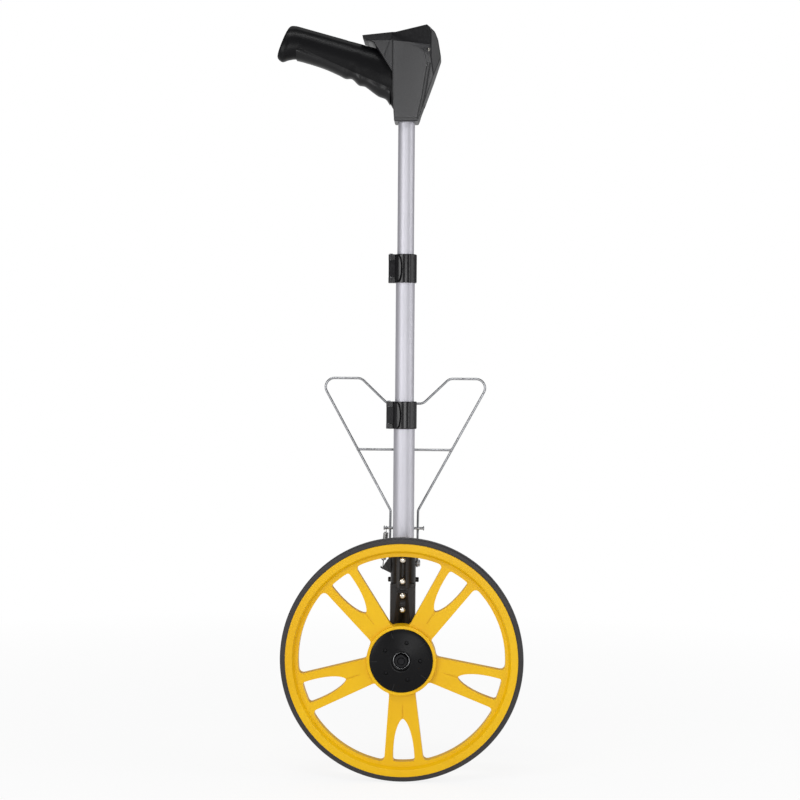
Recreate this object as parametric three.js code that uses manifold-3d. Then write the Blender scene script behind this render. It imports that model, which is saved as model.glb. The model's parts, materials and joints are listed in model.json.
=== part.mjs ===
// Folding measuring wheel with a digital counter.
// Millimetres, +Z up, +X forward, +Y away from the side that carries the wheel.
// Every piece is drawn from the wheel's axle, and the whole is then moved so that
// the origin is the middle of the hand grip, where a person holds the tool.

import * as THREE from "three";
import { mergeVertices } from "three/addons/utils/BufferGeometryUtils.js";
import Module from "manifold-3d";

const wasm = await Module();
wasm.setup();

// Shared values

const fit = 0.3;              // gap that seated pieces keep
const running = 0.5;          // gap round a piece that turns or slides
const overrun = 4;            // how far a cut runs past what it cuts
const turn = 2 * Math.PI;
const quarter = Math.PI / 2;
const fineSides = 48;         // sides of the tyre and rim
const hubSides = 24;          // sides of the hub and its cap
const midSides = 24;          // sides of the tubes and clamps
const smallSides = 16;        // sides of bearings, washers and bosses
const screwSides = 8;         // sides of screws, pins and magnets
const hexSides = 6;           // sides of the nut and the bolt's head

// Solids and cuts

// Turns a closed geometry into a solid that can be joined and cut.
function solidOf(geometry) {
  const bare = geometry.index ? geometry.toNonIndexed() : geometry.clone();
  bare.deleteAttribute("normal");
  bare.deleteAttribute("uv");
  const merged = mergeVertices(bare, mergeLimit);
  const vertProperties = new Float32Array(merged.attributes.position.array);
  const triVerts = new Uint32Array(merged.index.array);
  return new wasm.Manifold(new wasm.Mesh({ numProp: 3, vertProperties, triVerts }));
}
const mergeLimit = 1e-4;

// Turns a solid back into a geometry.
function geometryOf(solid) {
  const mesh = solid.getMesh();
  const geometry = new THREE.BufferGeometry();
  geometry.setAttribute("position", new THREE.Float32BufferAttribute(mesh.vertProperties, 3));
  geometry.setIndex(Array.from(mesh.triVerts));
  geometry.computeVertexNormals();
  return geometry;
}

const join = (...solids) => solids.reduce((whole, next) => whole.add(next));
const cut = (whole, ...tools) => tools.reduce((rest, tool) => rest.subtract(tool), whole);
const common = (...solids) => solids.reduce((whole, next) => whole.intersect(next));

// A box between two corners.
function block(low, high) {
  const size = high.map((value, k) => value - low[k]);
  const geometry = new THREE.BoxGeometry(...size);
  geometry.translate(...low.map((value, k) => value + size[k] / 2));
  return solidOf(geometry);
}

// Lays a geometry whose own axis is +Z along another axis.
function lay(geometry, axis) {
  if (axis === "x") geometry.rotateY(quarter);
  if (axis === "y") geometry.rotateX(-quarter);
  return geometry;
}

// A round bar from start to end along one axis; centre holds the two other places.
function rod(radius, start, end, axis = "z", centre = [0, 0], sides = midSides, endRadius = radius) {
  const geometry = new THREE.CylinderGeometry(endRadius, radius, end - start, sides);
  geometry.rotateX(quarter);
  lay(geometry, axis);
  const middle = (start + end) / 2;
  if (axis === "z") geometry.translate(centre[0], centre[1], middle);
  if (axis === "y") geometry.translate(centre[0], middle, centre[1]);
  if (axis === "x") geometry.translate(middle, centre[0], centre[1]);
  return solidOf(geometry);
}

// A closed ring or disc turned round +Z; each point is [radius, height].
function turned(points, sides = midSides) {
  const outline = points.map(([radius, height]) => new THREE.Vector2(radius, height));
  if (points.every(([radius]) => radius > 0)) outline.push(outline[0].clone());
  const geometry = new THREE.LatheGeometry(outline, sides);
  geometry.rotateX(quarter);
  const solid = solidOf(geometry);
  return solid.volume() < 0 ? solidOf(flipped(geometry)) : solid;
}

// Turns every face of a geometry over.
function flipped(geometry) {
  const index = geometry.index.array;
  for (let i = 0; i < index.length; i += 3) {
    const first = index[i];
    index[i] = index[i + 1];
    index[i + 1] = first;
  }
  return geometry;
}

// A flat outline [[u, v], ...] pushed from start to end along an axis.
// Along y the outline is [x, z], along z it is [x, y] and along x it is [y, z].
function slab(points, start, end, axis = "y", bevel = 0) {
  const shape = new THREE.Shape(points.map(([u, v]) => new THREE.Vector2(u, v)));
  const geometry = new THREE.ExtrudeGeometry(shape, {
    depth: end - start - 2 * bevel,
    bevelEnabled: bevel > 0,
    bevelThickness: bevel,
    bevelSize: bevel,
    bevelOffset: -bevel,
    bevelSegments: 2,
  });
  geometry.translate(0, 0, start + bevel);
  if (axis === "y") {
    geometry.rotateX(quarter);
    geometry.translate(0, start + end, 0);
  }
  if (axis === "x") {
    geometry.rotateX(quarter);
    geometry.rotateZ(quarter);
  }
  return solidOf(geometry);
}

// Moves each edge of a counter-clockwise outline inwards by its own distance.
function inset(points, distance) {
  const count = points.length;
  const edges = points.map((point, i) => {
    const next = points[(i + 1) % count];
    const along = [next[0] - point[0], next[1] - point[1]];
    const length = Math.hypot(...along);
    const inward = [-along[1] / length, along[0] / length];
    return { at: [point[0] + inward[0] * distance, point[1] + inward[1] * distance], along };
  });
  return edges.map((edge, i) => {
    const before = edges[(i + count - 1) % count];
    const cross = before.along[0] * edge.along[1] - before.along[1] * edge.along[0];
    const gap = [edge.at[0] - before.at[0], edge.at[1] - before.at[1]];
    const share = (gap[0] * edge.along[1] - gap[1] * edge.along[0]) / cross;
    return [before.at[0] + before.along[0] * share, before.at[1] + before.along[1] * share];
  });
}

// Rounds the corners of an outline; radii is one radius or one for each corner.
function rounded(points, radii, steps = 3) {
  const count = points.length;
  const result = [];
  points.forEach((corner, i) => {
    const radius = Array.isArray(radii) ? radii[i] : radii;
    if (radius <= 0) {
      result.push(corner);
      return;
    }
    const here = new THREE.Vector2(...corner);
    const before = new THREE.Vector2(...points[(i + count - 1) % count]).sub(here);
    const after = new THREE.Vector2(...points[(i + 1) % count]).sub(here);
    const half = Math.acos(before.clone().normalize().dot(after.clone().normalize())) / 2;
    const reach = Math.min(radius / Math.tan(half), before.length() / 2, after.length() / 2);
    const from = here.clone().add(before.setLength(reach));
    const to = here.clone().add(after.setLength(reach));
    const curve = new THREE.QuadraticBezierCurve(from, here, to);
    curve.getPoints(steps).forEach((point) => result.push([point.x, point.y]));
  });
  return result;
}

// A closed skin over a row of rings that all have the same number of points.
function skin(rings) {
  const count = rings[0].length;
  const positions = [];
  const index = [];
  rings.forEach((ring) => ring.forEach((point) => positions.push(...point)));
  for (let i = 0; i + 1 < rings.length; i += 1) {
    for (let j = 0; j < count; j += 1) {
      const a = i * count + j;
      const b = i * count + ((j + 1) % count);
      index.push(a, b, b + count, a, b + count, a + count);
    }
  }
  [rings[0], rings[rings.length - 1]].forEach((ring, end) => {
    const middle = ring[0].map((_, k) => ring.reduce((sum, point) => sum + point[k], 0) / count);
    const centre = positions.length / 3;
    const base = end * (rings.length - 1) * count;
    positions.push(...middle);
    for (let j = 0; j < count; j += 1) {
      const a = base + j;
      const b = base + ((j + 1) % count);
      index.push(...(end ? [centre, a, b] : [centre, b, a]));
    }
  });
  const geometry = new THREE.BufferGeometry();
  geometry.setAttribute("position", new THREE.Float32BufferAttribute(positions, 3));
  geometry.setIndex(index);
  const solid = solidOf(geometry);
  return solid.volume() < 0 ? solidOf(flipped(geometry)) : solid;
}

// A round wire along a list of points with rounded bends.
function wire(points, radius, bend, sides, bendSteps) {
  const path = new THREE.CurvePath();
  const places = points.map((point) => new THREE.Vector3(...point));
  let from = places[0];
  for (let i = 1; i < places.length; i += 1) {
    const here = places[i];
    const next = places[i + 1];
    if (!next) {
      path.add(new THREE.LineCurve3(from, here));
      break;
    }
    const back = from.clone().sub(here);
    const ahead = next.clone().sub(here);
    const reach = Math.min(bend, back.length() * bendReachShare, ahead.length() * bendReachShare);
    const start = here.clone().add(back.setLength(reach));
    const end = here.clone().add(ahead.setLength(reach));
    path.add(new THREE.LineCurve3(from, start));
    path.add(new THREE.QuadraticBezierCurve3(start, here, end));
    from = end;
  }
  const rings = [];
  path.curves.forEach((curve, i) => {
    const steps = curve.isLineCurve3 ? 1 : bendSteps;
    for (let k = i ? 1 : 0; k <= steps; k += 1) {
      rings.push({ at: curve.getPoint(k / steps), along: curve.getTangent(k / steps) });
    }
  });
  return tubeAlong(rings, radius, sides);
}
const bendReachShare = 0.48;

// A closed round tube through stations that hold a place and a direction.
function tubeAlong(stations, radius, sides) {
  let side = new THREE.Vector3(0, 1, 0);
  if (Math.abs(stations[0].along.y) > steepShare) side = new THREE.Vector3(1, 0, 0);
  const rings = stations.map(({ at, along }) => {
    side.sub(along.clone().multiplyScalar(side.dot(along))).normalize();
    const other = along.clone().cross(side);
    const ring = [];
    for (let j = 0; j < sides; j += 1) {
      const angle = (j * turn) / sides;
      const point = at.clone();
      point.addScaledVector(side, Math.cos(angle) * radius);
      point.addScaledVector(other, Math.sin(angle) * radius);
      ring.push([point.x, point.y, point.z]);
    }
    return ring;
  });
  return skin(rings);
}
const steepShare = 0.8;

// Copies a solid round +Z or +Y, count times from a first angle.
function around(solid, count, first = 0, axis = "z") {
  const copies = [];
  for (let i = 0; i < count; i += 1) {
    const degrees = ((first + (i * turn) / count) * 180) / Math.PI;
    copies.push(solid.rotate(axis === "z" ? [0, 0, degrees] : [0, -degrees, 0]));
  }
  return copies;
}

// Finishes, one material for each piece

const finishes = {
  rubber: { color: 0x2b2628, roughness: 0.85, metalness: 0 },
  yellow: { color: 0xebbe1e, roughness: 0.35, metalness: 0 },
  black: { color: 0x1f1f24, roughness: 0.45, metalness: 0 },
  soft: { color: 0x1a1a1d, roughness: 0.8, metalness: 0 },
  aluminium: { color: 0xc8c7ce, roughness: 0.35, metalness: 1 },
  steel: { color: 0xa9a9ab, roughness: 0.3, metalness: 1 },
  nickel: { color: 0xd6d4d0, roughness: 0.25, metalness: 1 },
  board: { color: 0x1d5a36, roughness: 0.5, metalness: 0 },
  glass: { color: 0x30363a, roughness: 0.05, metalness: 0 },
  display: { color: 0x8d9a86, roughness: 0.4, metalness: 0 },
  key: { color: 0x8a8c90, roughness: 0.6, metalness: 0 },
  cell: { color: 0x3a5f8a, roughness: 0.4, metalness: 0 },
};

// A named mesh with a material of its own.
function piece(name, solid, finish) {
  const mesh = new THREE.Mesh(geometryOf(solid), new THREE.MeshStandardMaterial(finishes[finish]));
  mesh.name = name;
  return mesh;
}

// Wheel, drawn flat round +Z with its front up and then stood on its edge

const wheel = {
  tyreRadius: 159.15,         // a circumference of one metre
  tyreDepth: 9.65,            // from the tread to the bottom of the groove that holds the tyre
  tyreShown: 7.15,            // how far the rubber stands out of the rim
  tyreWidth: 18,
  tyreCrown: 1.6,
  flange: 3.5,                // thickness of the rim's flanges
  lipDepth: 16.65,            // from the tread to the inner edge of the rim's front lip
  waistDepth: 23.65,          // from the tread to the narrowest part of the rim's drafted inner wall
  rearLipDepth: 18.15,
  spokes: 5,
  lean: (1.8 * Math.PI) / 180,
  hubRadius: 45.5,
  hubHalf: 13,                // half of the hub's depth
  spokeFront: 7,
  spokeBack: -7,
  spokeSkin: 3,
  spokeWall: 2.6,
  spokeInnerHalf: 16.8,
  spokeOuterHalf: 25.5,
  windowStart: 36.5,          // from the hub to the window in a spoke
  windowEnd: 2.5,             // from the window to the rim's waist
  windowHalf: 13.4,
  windowTipHalf: 2.6,
  windowRound: 3.2,
  creaseGap: 12.5,
  creaseHalf: 1.1,
  creaseDepth: 0.8,
  planeY: -32,                // middle plane of the wheel, beside the arm
};
wheel.seatRadius = wheel.tyreRadius - wheel.tyreDepth;
wheel.flangeRadius = wheel.tyreRadius - wheel.tyreShown;
wheel.lipInner = wheel.tyreRadius - wheel.lipDepth;
wheel.waistRadius = wheel.tyreRadius - wheel.waistDepth;
wheel.rearLip = wheel.tyreRadius - wheel.rearLipDepth;
wheel.windowInner = wheel.hubRadius + wheel.windowStart;
wheel.windowOuter = wheel.waistRadius - wheel.windowEnd;
wheel.creaseStart = wheel.hubRadius + wheel.creaseGap;

const bearing = { bore: 5, outer: 13, width: 8, groove: 0.5, inner: 7.4, land: 11 };

const hub = {
  bossRadius: 19,
  bossBack: -13,
  webFront: 2,
  webBack: -3,
  wall: 3,
  capSeat: 9,
  capLedge: 2,
  screwCircle: 25,
  screwBoss: 4.5,
  magnetCircle: 36,
  magnetHalf: 2.5,            // half width of the magnet ring
  magnetDepth: 3,
  magnetWall: 2,
};

const cap = {
  radius: 41.2,
  rim: 2.4,
  edge: 4.4,
  dome: 5.4,
  skin: 2.2,
  wellRadius: 12.5,
  wellWall: 1.6,
  screwHole: 1.7,
  counterbore: 2.7,
  headDepth: 2,
};

function wheelTyre() {
  const half = wheel.tyreWidth / 2;
  return turned([
    [wheel.seatRadius + fit, -half],
    [wheel.tyreRadius - wheel.tyreCrown, -half],
    [wheel.tyreRadius, -half + wheel.tyreCrown * 2],
    [wheel.tyreRadius, half - wheel.tyreCrown * 2],
    [wheel.tyreRadius - wheel.tyreCrown, half],
    [wheel.seatRadius + fit, half],
  ], fineSides);
}

function wheelRim() {
  const seat = wheel.tyreWidth / 2 + fit;
  const edge = seat + wheel.flange;
  return turned([
    [wheel.lipInner, edge],
    [wheel.waistRadius, 0],
    [wheel.rearLip, -edge],
    [wheel.flangeRadius, -edge],
    [wheel.flangeRadius, -seat],
    [wheel.seatRadius, -seat],
    [wheel.seatRadius, seat],
    [wheel.flangeRadius, seat],
    [wheel.flangeRadius, edge],
  ], fineSides);
}

// Half of a spoke's width at a radius.
function spokeHalf(radius) {
  const span = wheel.windowOuter - wheel.hubRadius;
  const grow = (wheel.spokeOuterHalf - wheel.spokeInnerHalf) / span;
  return wheel.spokeInnerHalf + grow * (radius - wheel.hubRadius);
}

// A spoke's outline along +X, drawn in by a wall.
function spokeOutline(from, to, wall) {
  return [
    [from, -spokeHalf(from) + wall],
    [to, -spokeHalf(to) + wall],
    [to, spokeHalf(to) - wall],
    [from, spokeHalf(from) - wall],
  ];
}

// The rounded three-cornered window that makes each spoke a double one.
function windowOutline(wall) {
  const corners = [
    [wheel.windowInner - wall * 2, -wheel.windowTipHalf - wall / 2],
    [wheel.windowOuter + wall, -wheel.windowHalf - wall],
    [wheel.windowOuter + wall, wheel.windowHalf + wall],
    [wheel.windowInner - wall * 2, wheel.windowTipHalf + wall / 2],
  ];
  return rounded(corners, wheel.windowRound + wall, 2);
}

// The hub as one turned section: bearing boss, web, cap seat and magnet ring.
function wheelHub() {
  const bossTop = bearing.width + fit;
  const seat = bearing.outer + fit / 2;
  const capWall = cap.radius + fit;
  const magnetInner = hub.magnetCircle - hub.magnetHalf - fit;
  const magnetOuter = hub.magnetCircle + hub.magnetHalf + fit;
  const magnetFloor = -wheel.hubHalf + hub.magnetDepth + fit;
  const rearSeat = hub.bossBack + bearing.width + fit;
  return turned([
    [bearing.land, 0],
    [seat, 0],
    [seat, bossTop],
    [hub.bossRadius, bossTop],
    [hub.bossRadius, hub.webFront],
    [capWall - hub.capLedge, hub.webFront],
    [capWall - hub.capLedge, hub.capSeat],
    [capWall, hub.capSeat],
    [capWall, wheel.hubHalf],
    [wheel.hubRadius, wheel.hubHalf],
    [wheel.hubRadius, -wheel.hubHalf],
    [magnetOuter, -wheel.hubHalf],
    [magnetOuter, magnetFloor],
    [magnetInner, magnetFloor],
    [magnetInner, -wheel.hubHalf],
    [magnetInner - hub.magnetWall, -wheel.hubHalf],
    [magnetInner - hub.magnetWall, hub.webBack],
    [hub.bossRadius, hub.webBack],
    [hub.bossRadius, hub.bossBack],
    [seat, hub.bossBack],
    [seat, rearSeat],
    [bearing.land, rearSeat],
  ], hubSides);
}

function wheelDisc() {
  const rimInside = wheel.seatRadius - wheel.spokeWall;
  const floor = wheel.spokeFront - wheel.spokeSkin;
  const below = wheel.spokeBack - overrun;
  const above = wheel.spokeFront + overrun;
  const blank = slab(spokeOutline(0, rimInside, 0), wheel.spokeBack, wheel.spokeFront, "z");
  const pocketEnd = wheel.waistRadius + wheel.spokeWall;
  const pocket = cut(
    slab(spokeOutline(wheel.hubRadius, pocketEnd, wheel.spokeWall), below, floor, "z"),
    slab(windowOutline(wheel.spokeWall), below - overrun, above, "z"),
  );
  const window = slab(windowOutline(0), below, above, "z");
  const crease = slab([
    [wheel.creaseStart, -wheel.creaseHalf / 2],
    [wheel.windowInner, -wheel.creaseHalf],
    [wheel.windowInner, wheel.creaseHalf],
    [wheel.creaseStart, wheel.creaseHalf / 2],
  ], wheel.spokeFront - wheel.creaseDepth, above, "z");
  const spoke = cut(blank, pocket, window, crease);
  const hubSpace = rod(wheel.hubRadius - hub.wall / 2, -wheel.hubHalf, wheel.hubHalf, "z", [0, 0], hubSides);
  const first = wheel.lean - quarter;
  const star = cut(join(...around(spoke, wheel.spokes, first)), hubSpace);
  const bosses = around(
    rod(hub.screwBoss, hub.webBack, hub.capSeat, "z", [hub.screwCircle, 0], screwSides),
    wheel.spokes, wheel.lean);
  const screwHoles = around(
    rod(cap.screwHole, hub.webFront, hub.capSeat + overrun, "z", [hub.screwCircle, 0], screwSides),
    wheel.spokes, wheel.lean);
  return cut(join(wheelRim(), star, wheelHub(), ...bosses), ...screwHoles);
}

function ballBearing(low) {
  const high = low + bearing.width;
  return turned([
    [bearing.bore + fit / 2, low],
    [bearing.inner, low],
    [bearing.inner, low + bearing.groove],
    [bearing.land, low + bearing.groove],
    [bearing.land, low],
    [bearing.outer, low],
    [bearing.outer, high],
    [bearing.land, high],
    [bearing.land, high - bearing.groove],
    [bearing.inner, high - bearing.groove],
    [bearing.inner, high],
    [bearing.bore + fit / 2, high],
  ], smallSides);
}

function hubCap() {
  const seat = hub.capSeat + fit;
  const top = seat + cap.edge;
  const crown = top + cap.dome;
  const wellOuter = cap.wellRadius + cap.wellWall;
  const rise = (radius) => top + cap.dome * Math.cos((radius / cap.radius) * quarter);
  const middle = (cap.radius + wellOuter) / 2;
  const dome = turned([
    [cap.radius, seat],
    [cap.radius, top - cap.rim / 2],
    [cap.radius - cap.rim / 2, top],
    [(cap.radius + middle) / 2, rise((cap.radius + middle) / 2)],
    [middle, rise(middle)],
    [(middle + wellOuter) / 2, rise((middle + wellOuter) / 2)],
    [wellOuter, crown - cap.skin / 4],
    [cap.wellRadius, crown - cap.skin / 2],
    [cap.wellRadius, seat],
    [wellOuter, seat],
    [wellOuter, crown - cap.skin * 2],
    [middle, rise(middle) - cap.skin],
    [cap.radius - cap.rim, top - cap.skin],
    [cap.radius - cap.rim, seat],
  ], hubSides);
  const post = rod(hub.screwBoss, seat, rise(hub.screwCircle) - cap.skin / 2, "z",
    [hub.screwCircle, 0], screwSides);
  const hole = rod(cap.screwHole, seat - overrun, crown + overrun, "z", [hub.screwCircle, 0], screwSides);
  const sink = rod(cap.counterbore, rise(hub.screwCircle) - cap.headDepth * 2, crown + overrun, "z",
    [hub.screwCircle, 0], screwSides);
  const posts = around(post, wheel.spokes, wheel.lean);
  return cut(join(dome, ...posts), ...around(hole, wheel.spokes, wheel.lean),
    ...around(sink, wheel.spokes, wheel.lean));
}

function hubCapScrews() {
  const seat = hub.capSeat + fit;
  const top = seat + cap.edge + cap.dome * Math.cos((hub.screwCircle / cap.radius) * quarter);
  const under = top - cap.headDepth * 2 + fit;
  const at = [hub.screwCircle, 0];
  const screw = join(
    rod(cap.counterbore - fit, under, under + cap.headDepth, "z", at, screwSides),
    rod(cap.screwHole - fit, hub.webFront + fit, under + fit, "z", at, screwSides),
  );
  return around(screw, wheel.spokes, wheel.lean);
}

const rearCap = { inner: 9, outer: 31, thick: 1.6, lip: 1.5 };

function hubRearCap() {
  const back = hub.bossBack - fit;
  return turned([
    [rearCap.inner, back],
    [rearCap.outer, back],
    [rearCap.outer - rearCap.lip / 2, back - rearCap.thick],
    [rearCap.inner, back - rearCap.thick],
  ]);
}

function magnetRing() {
  const low = -wheel.hubHalf;
  const [inner, outer] = [hub.magnetCircle - hub.magnetHalf, hub.magnetCircle + hub.magnetHalf];
  return turned([[inner, low], [outer, low], [outer, low + hub.magnetDepth], [inner, low + hub.magnetDepth]]);
}

const spacerWall = 2.5;

function bearingSpacer() {
  const low = hub.bossBack + bearing.width + fit;
  return cut(
    rod(bearing.bore + spacerWall, low, -fit, "z", [0, 0], smallSides),
    rod(bearing.bore + fit / 2, low - overrun, overrun, "z", [0, 0], smallSides),
  );
}

// Tubes, each sliding in the next larger one; heights are above the axle

const handleFoot = 704;         // height of the handle's lower end, which the tallest tube goes into
const handleHeight = 124;
const socketShare = 0.3871;     // how far up the handle the tube reaches

const tube = {
  wall: 1.2,
  lower: { radius: 14, top: 326, bottom: 95 },
  middle: { radius: 12.5, top: 520, bottom: 276 },
  upper: { radius: 11, top: handleFoot + handleHeight * socketShare, bottom: 458 },
  guideHeight: 12,
  guideLip: 1.5,
};

function plainTube({ radius, top, bottom }) {
  return cut(
    rod(radius, bottom, top),
    rod(radius - tube.wall, bottom - overrun, top + overrun),
  );
}

// The largest tube, with holes for the two screws that hold it in the arm.
function lowerTube() {
  const holes = armScrew.heights.slice(0, 2).map((z) => rod(armScrew.shank + fit,
    -tube.lower.radius - overrun, 0, "y", [0, z], screwSides));
  return cut(plainTube(tube.lower), ...holes);
}

// The plastic plug in the lower end of a sliding tube, bored for the signal cable.
function tubeGuide({ radius, bottom }) {
  const inside = radius - tube.wall - fit;
  const start = bottom + tube.guideHeight;
  return turned([
    [inside - tube.wall * 2, bottom - tube.guideLip - fit],
    [radius, bottom - tube.guideLip - fit],
    [radius, bottom - fit],
    [inside, bottom - fit],
    [inside, start],
    [inside - tube.wall * 2, start],
  ], smallSides);
}

// Arm: the one-sided moulding that carries the axle, the tube and the stand

const arm = {
  half: 16.5,                 // half width, and the socket's front radius
  footRadius: 19,
  front: -14,
  back: 12,
  cover: 2,
  wall: 2.5,
  seam: 90.9,                 // where the round socket starts
  seamRise: 6,
  socketTop: 150,
  socketBack: 16.5,
  floor: 4,
  cableHole: 5,
  pocketBottom: 16,
};

const armScrew = { heights: [128.3, 100.1, 80.7, 61.9], head: 3.75, headDepth: 2.2, shank: 1.9, sink: 0.8 };
const dimple = { heights: [90, 71.3], half: 4, rise: 2.2, depth: 1 };
const slot = { low: 107, high: 123.5, half: 1.1 };
const pivot = { y: 8, z: 121.6, radius: 2, head: 4.7, headThick: 2.2, eyeGap: 0.3 };
const stop = { y: 14, z: 99, radius: 3.3, reach: 20.5 };
const hook = { tipX: -29.6, tipZ: 117.6, rootTop: 132, rootBottom: 108.5, half: 2.2, nose: 2.6, dip: 1.4, shoulder: 4.2 };
const axleSize = { bolt: 5, shoulder: 7.5, head: 9, headDepth: 6, front: 17 };

function armHousing() {
  const flat = slab(rounded([
    [-arm.half, -arm.footRadius],
    [arm.half, -arm.footRadius],
    [arm.half, arm.seam + arm.seamRise],
    [-arm.half, arm.seam + arm.seamRise],
  ], [arm.half * footShare, arm.half * footShare, 0, 0], 5), arm.front, arm.back, "y", arm.wall / 2);
  const front = rod(arm.half, arm.seam - arm.seamRise, arm.socketTop);
  const rear = block(
    [-arm.half, 0, arm.seam],
    [arm.half, arm.socketBack, arm.socketTop],
  );
  const slope = slab([
    [-arm.half * 2, arm.seam - arm.seamRise * 2],
    [arm.front, arm.seam - arm.seamRise * 2],
    [arm.front, arm.seam - arm.seamRise],
    [-arm.half, arm.seam + arm.seamRise / 2],
    [-arm.half * 2, arm.seam + arm.seamRise / 2],
  ], -arm.half * 2, arm.half * 2, "x");
  const bore = rod(tube.lower.radius + fit, tube.lower.bottom - fit, arm.socketTop + overrun);
  const pocket = block(
    [-arm.half + arm.wall, arm.front + arm.wall, arm.pocketBottom],
    [arm.half - arm.wall, arm.back + overrun, tube.lower.bottom - arm.floor],
  );
  const cable = rod(arm.cableHole, tube.lower.bottom - arm.floor - overrun, tube.lower.bottom);
  const bosses = armScrew.heights.slice(2).map((z) => rod(armScrew.head, arm.front + arm.wall / 2,
    arm.back - arm.cover * 2, "y", [0, z], smallSides));
  const stops = rod(stop.radius, -stop.reach, stop.reach, "x", [stop.y, stop.z], smallSides);
  const stopSpace = rod(tube.lower.radius + fit, stop.z - stop.radius * 2, stop.z + stop.radius * 2);
  const fin = slab([
    [-arm.half + arm.wall / 2, hook.rootBottom],
    [-arm.half + arm.wall / 2, hook.rootTop],
    [-arm.half, hook.rootTop],
    [hook.tipX + hook.nose * 2, hook.tipZ + hook.shoulder],
    [hook.tipX + hook.nose, hook.tipZ - hook.dip / 2],
    [hook.tipX + hook.nose / 2, hook.tipZ - hook.dip / 2],
    [hook.tipX, hook.tipZ + hook.dip],
    [hook.tipX - hook.dip / 2, hook.tipZ - hook.nose / 2],
    [hook.tipX + hook.nose / 2, hook.tipZ - hook.nose],
  ].reverse(), -hook.half, hook.half, "y");
  const screwCuts = armScrew.heights.flatMap((z) => [
    rod(armScrew.shank + fit, -arm.half - overrun, 0, "y", [0, z], screwSides),
    rod(armScrew.head + fit, -arm.half - overrun, screwSeat(z), "y", [0, z], smallSides),
  ]);
  const deepHoles = armScrew.heights.slice(2).map((z) => rod(armScrew.shank + fit,
    arm.front, arm.back, "y", [0, z], screwSides));
  const pivotHole = rod(pivot.radius + fit / 2, -arm.half - overrun, arm.half + overrun, "x",
    [pivot.y, pivot.z], screwSides);
  const axleHole = rod(axleSize.bolt + fit, arm.front - overrun, arm.back + overrun, "y");
  const headHole = rod(axleSize.head + fit, arm.back - axleSize.headDepth, arm.back + overrun, "y",
    [0, 0], smallSides);
  const dimples = dimple.heights.map((z) => block(
    [-dimple.half, -arm.half - overrun, z - dimple.rise],
    [dimple.half, arm.front + dimple.depth, z + dimple.rise],
  ));
  const slit = block(
    [-slot.half, -arm.half - overrun, slot.low],
    [slot.half, -tube.lower.radius - fit - (arm.half - tube.lower.radius) / 3, slot.high],
  );
  const coverSeat = block(
    [-arm.half + arm.wall / 2, arm.back - arm.cover, arm.pocketBottom - arm.wall],
    [arm.half - arm.wall / 2, arm.back + overrun, tube.lower.bottom - arm.floor + arm.wall / 2],
  );
  const body = join(flat, cut(join(front, rear), slope));
  const hollow = cut(join(body, cut(stops, stopSpace), fin), bore, pocket, cable);
  return cut(join(hollow, ...bosses), ...screwCuts, ...deepHoles, pivotHole, axleHole, headHole,
    ...dimples, slit, coverSeat);
}
const footShare = 0.9;

// The front face that a screw's head rests on.
function screwSeat(z) {
  const face = z > arm.seam + arm.seamRise ? -arm.half : arm.front;
  return face + armScrew.sink;
}

function armCover() {
  const top = tube.lower.bottom - arm.floor + arm.wall / 2 - fit;
  const plate = slab(rounded([
    [-arm.half + arm.wall / 2 + fit, arm.pocketBottom - arm.wall + fit],
    [arm.half - arm.wall / 2 - fit, arm.pocketBottom - arm.wall + fit],
    [arm.half - arm.wall / 2 - fit, top],
    [-arm.half + arm.wall / 2 + fit, top],
  ], 0), arm.back - arm.cover + fit, arm.back, "y");
  const ribs = [1, 2, 3].map((i) => block(
    [-arm.half / 2, arm.back - fit, arm.pocketBottom + (i * (top - arm.pocketBottom)) / 4],
    [arm.half / 2, arm.back + arm.cover / 2, arm.pocketBottom + (i * (top - arm.pocketBottom)) / 4 + arm.cover],
  ));
  return join(plate, ...ribs);
}

function armScrews() {
  return armScrew.heights.map((z, i) => {
    const seat = screwSeat(z) - fit;
    const end = i < 2 ? -tube.lower.radius + armScrew.head : arm.back - arm.cover * 3;
    const head = turned([
      [0, 0],
      [armScrew.head, 0],
      [armScrew.head, armScrew.headDepth / 2],
      [armScrew.head / 2, armScrew.headDepth],
      [0, armScrew.headDepth],
    ], screwSides).rotate([90, 0, 0]).translate([0, seat, z]);
    return join(head, rod(armScrew.shank, seat - fit, end, "y", [0, z], screwSides));
  });
}

const sensor = { half: 9, thick: 1.6, low: 22, high: 56, chip: 3, chipRise: 34, post: 3 };

function sensorBoard() {
  const front = arm.front + arm.wall + fit;
  const board = block(
    [-arm.half + arm.wall + fit, front + sensor.post, sensor.low],
    [arm.half - arm.wall - fit, front + sensor.post + sensor.thick, sensor.high],
  );
  const chip = block(
    [-sensor.chip, front, sensor.chipRise],
    [sensor.chip, front + sensor.post + sensor.thick / 2, sensor.chipRise + sensor.chip],
  );
  return join(board, chip);
}

// Axle in the arm's own place, with its head at the back and its thread at the front.
function axleBolt() {
  const shoulderStart = arm.front - fit;
  const bearingBack = wheel.planeY - hub.bossBack - fit;
  const head = rod(axleSize.head, arm.back - axleSize.headDepth + fit, arm.back - fit, "y", [0, 0], hexSides);
  const shank = rod(axleSize.bolt, wheel.planeY - axleSize.front, arm.back - fit, "y");
  const shoulder = rod(axleSize.shoulder, bearingBack + fit * 2, shoulderStart, "y");
  return join(head, shank, shoulder);
}

const nut = { radius: 9.2, thick: 6, flange: 10, flangeThick: 1.4 };

// A flange nut that turns with the axle, in the well of the hub cap.
function axleNut() {
  const back = wheel.planeY - bearing.width - fit * 2;
  const front = back - nut.flangeThick;
  return cut(
    join(
      rod(nut.flange, front, back, "y", [0, 0], smallSides),
      rod(nut.radius, front - nut.thick, front, "y", [0, 0], hexSides),
    ),
    rod(axleSize.bolt + fit / 2, front - nut.thick - overrun, back + overrun, "y"),
  );
}

// Stand: one bent wire with two ears, hinged at the arm and folded up behind the tube

const standWire = 1.6;

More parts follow.
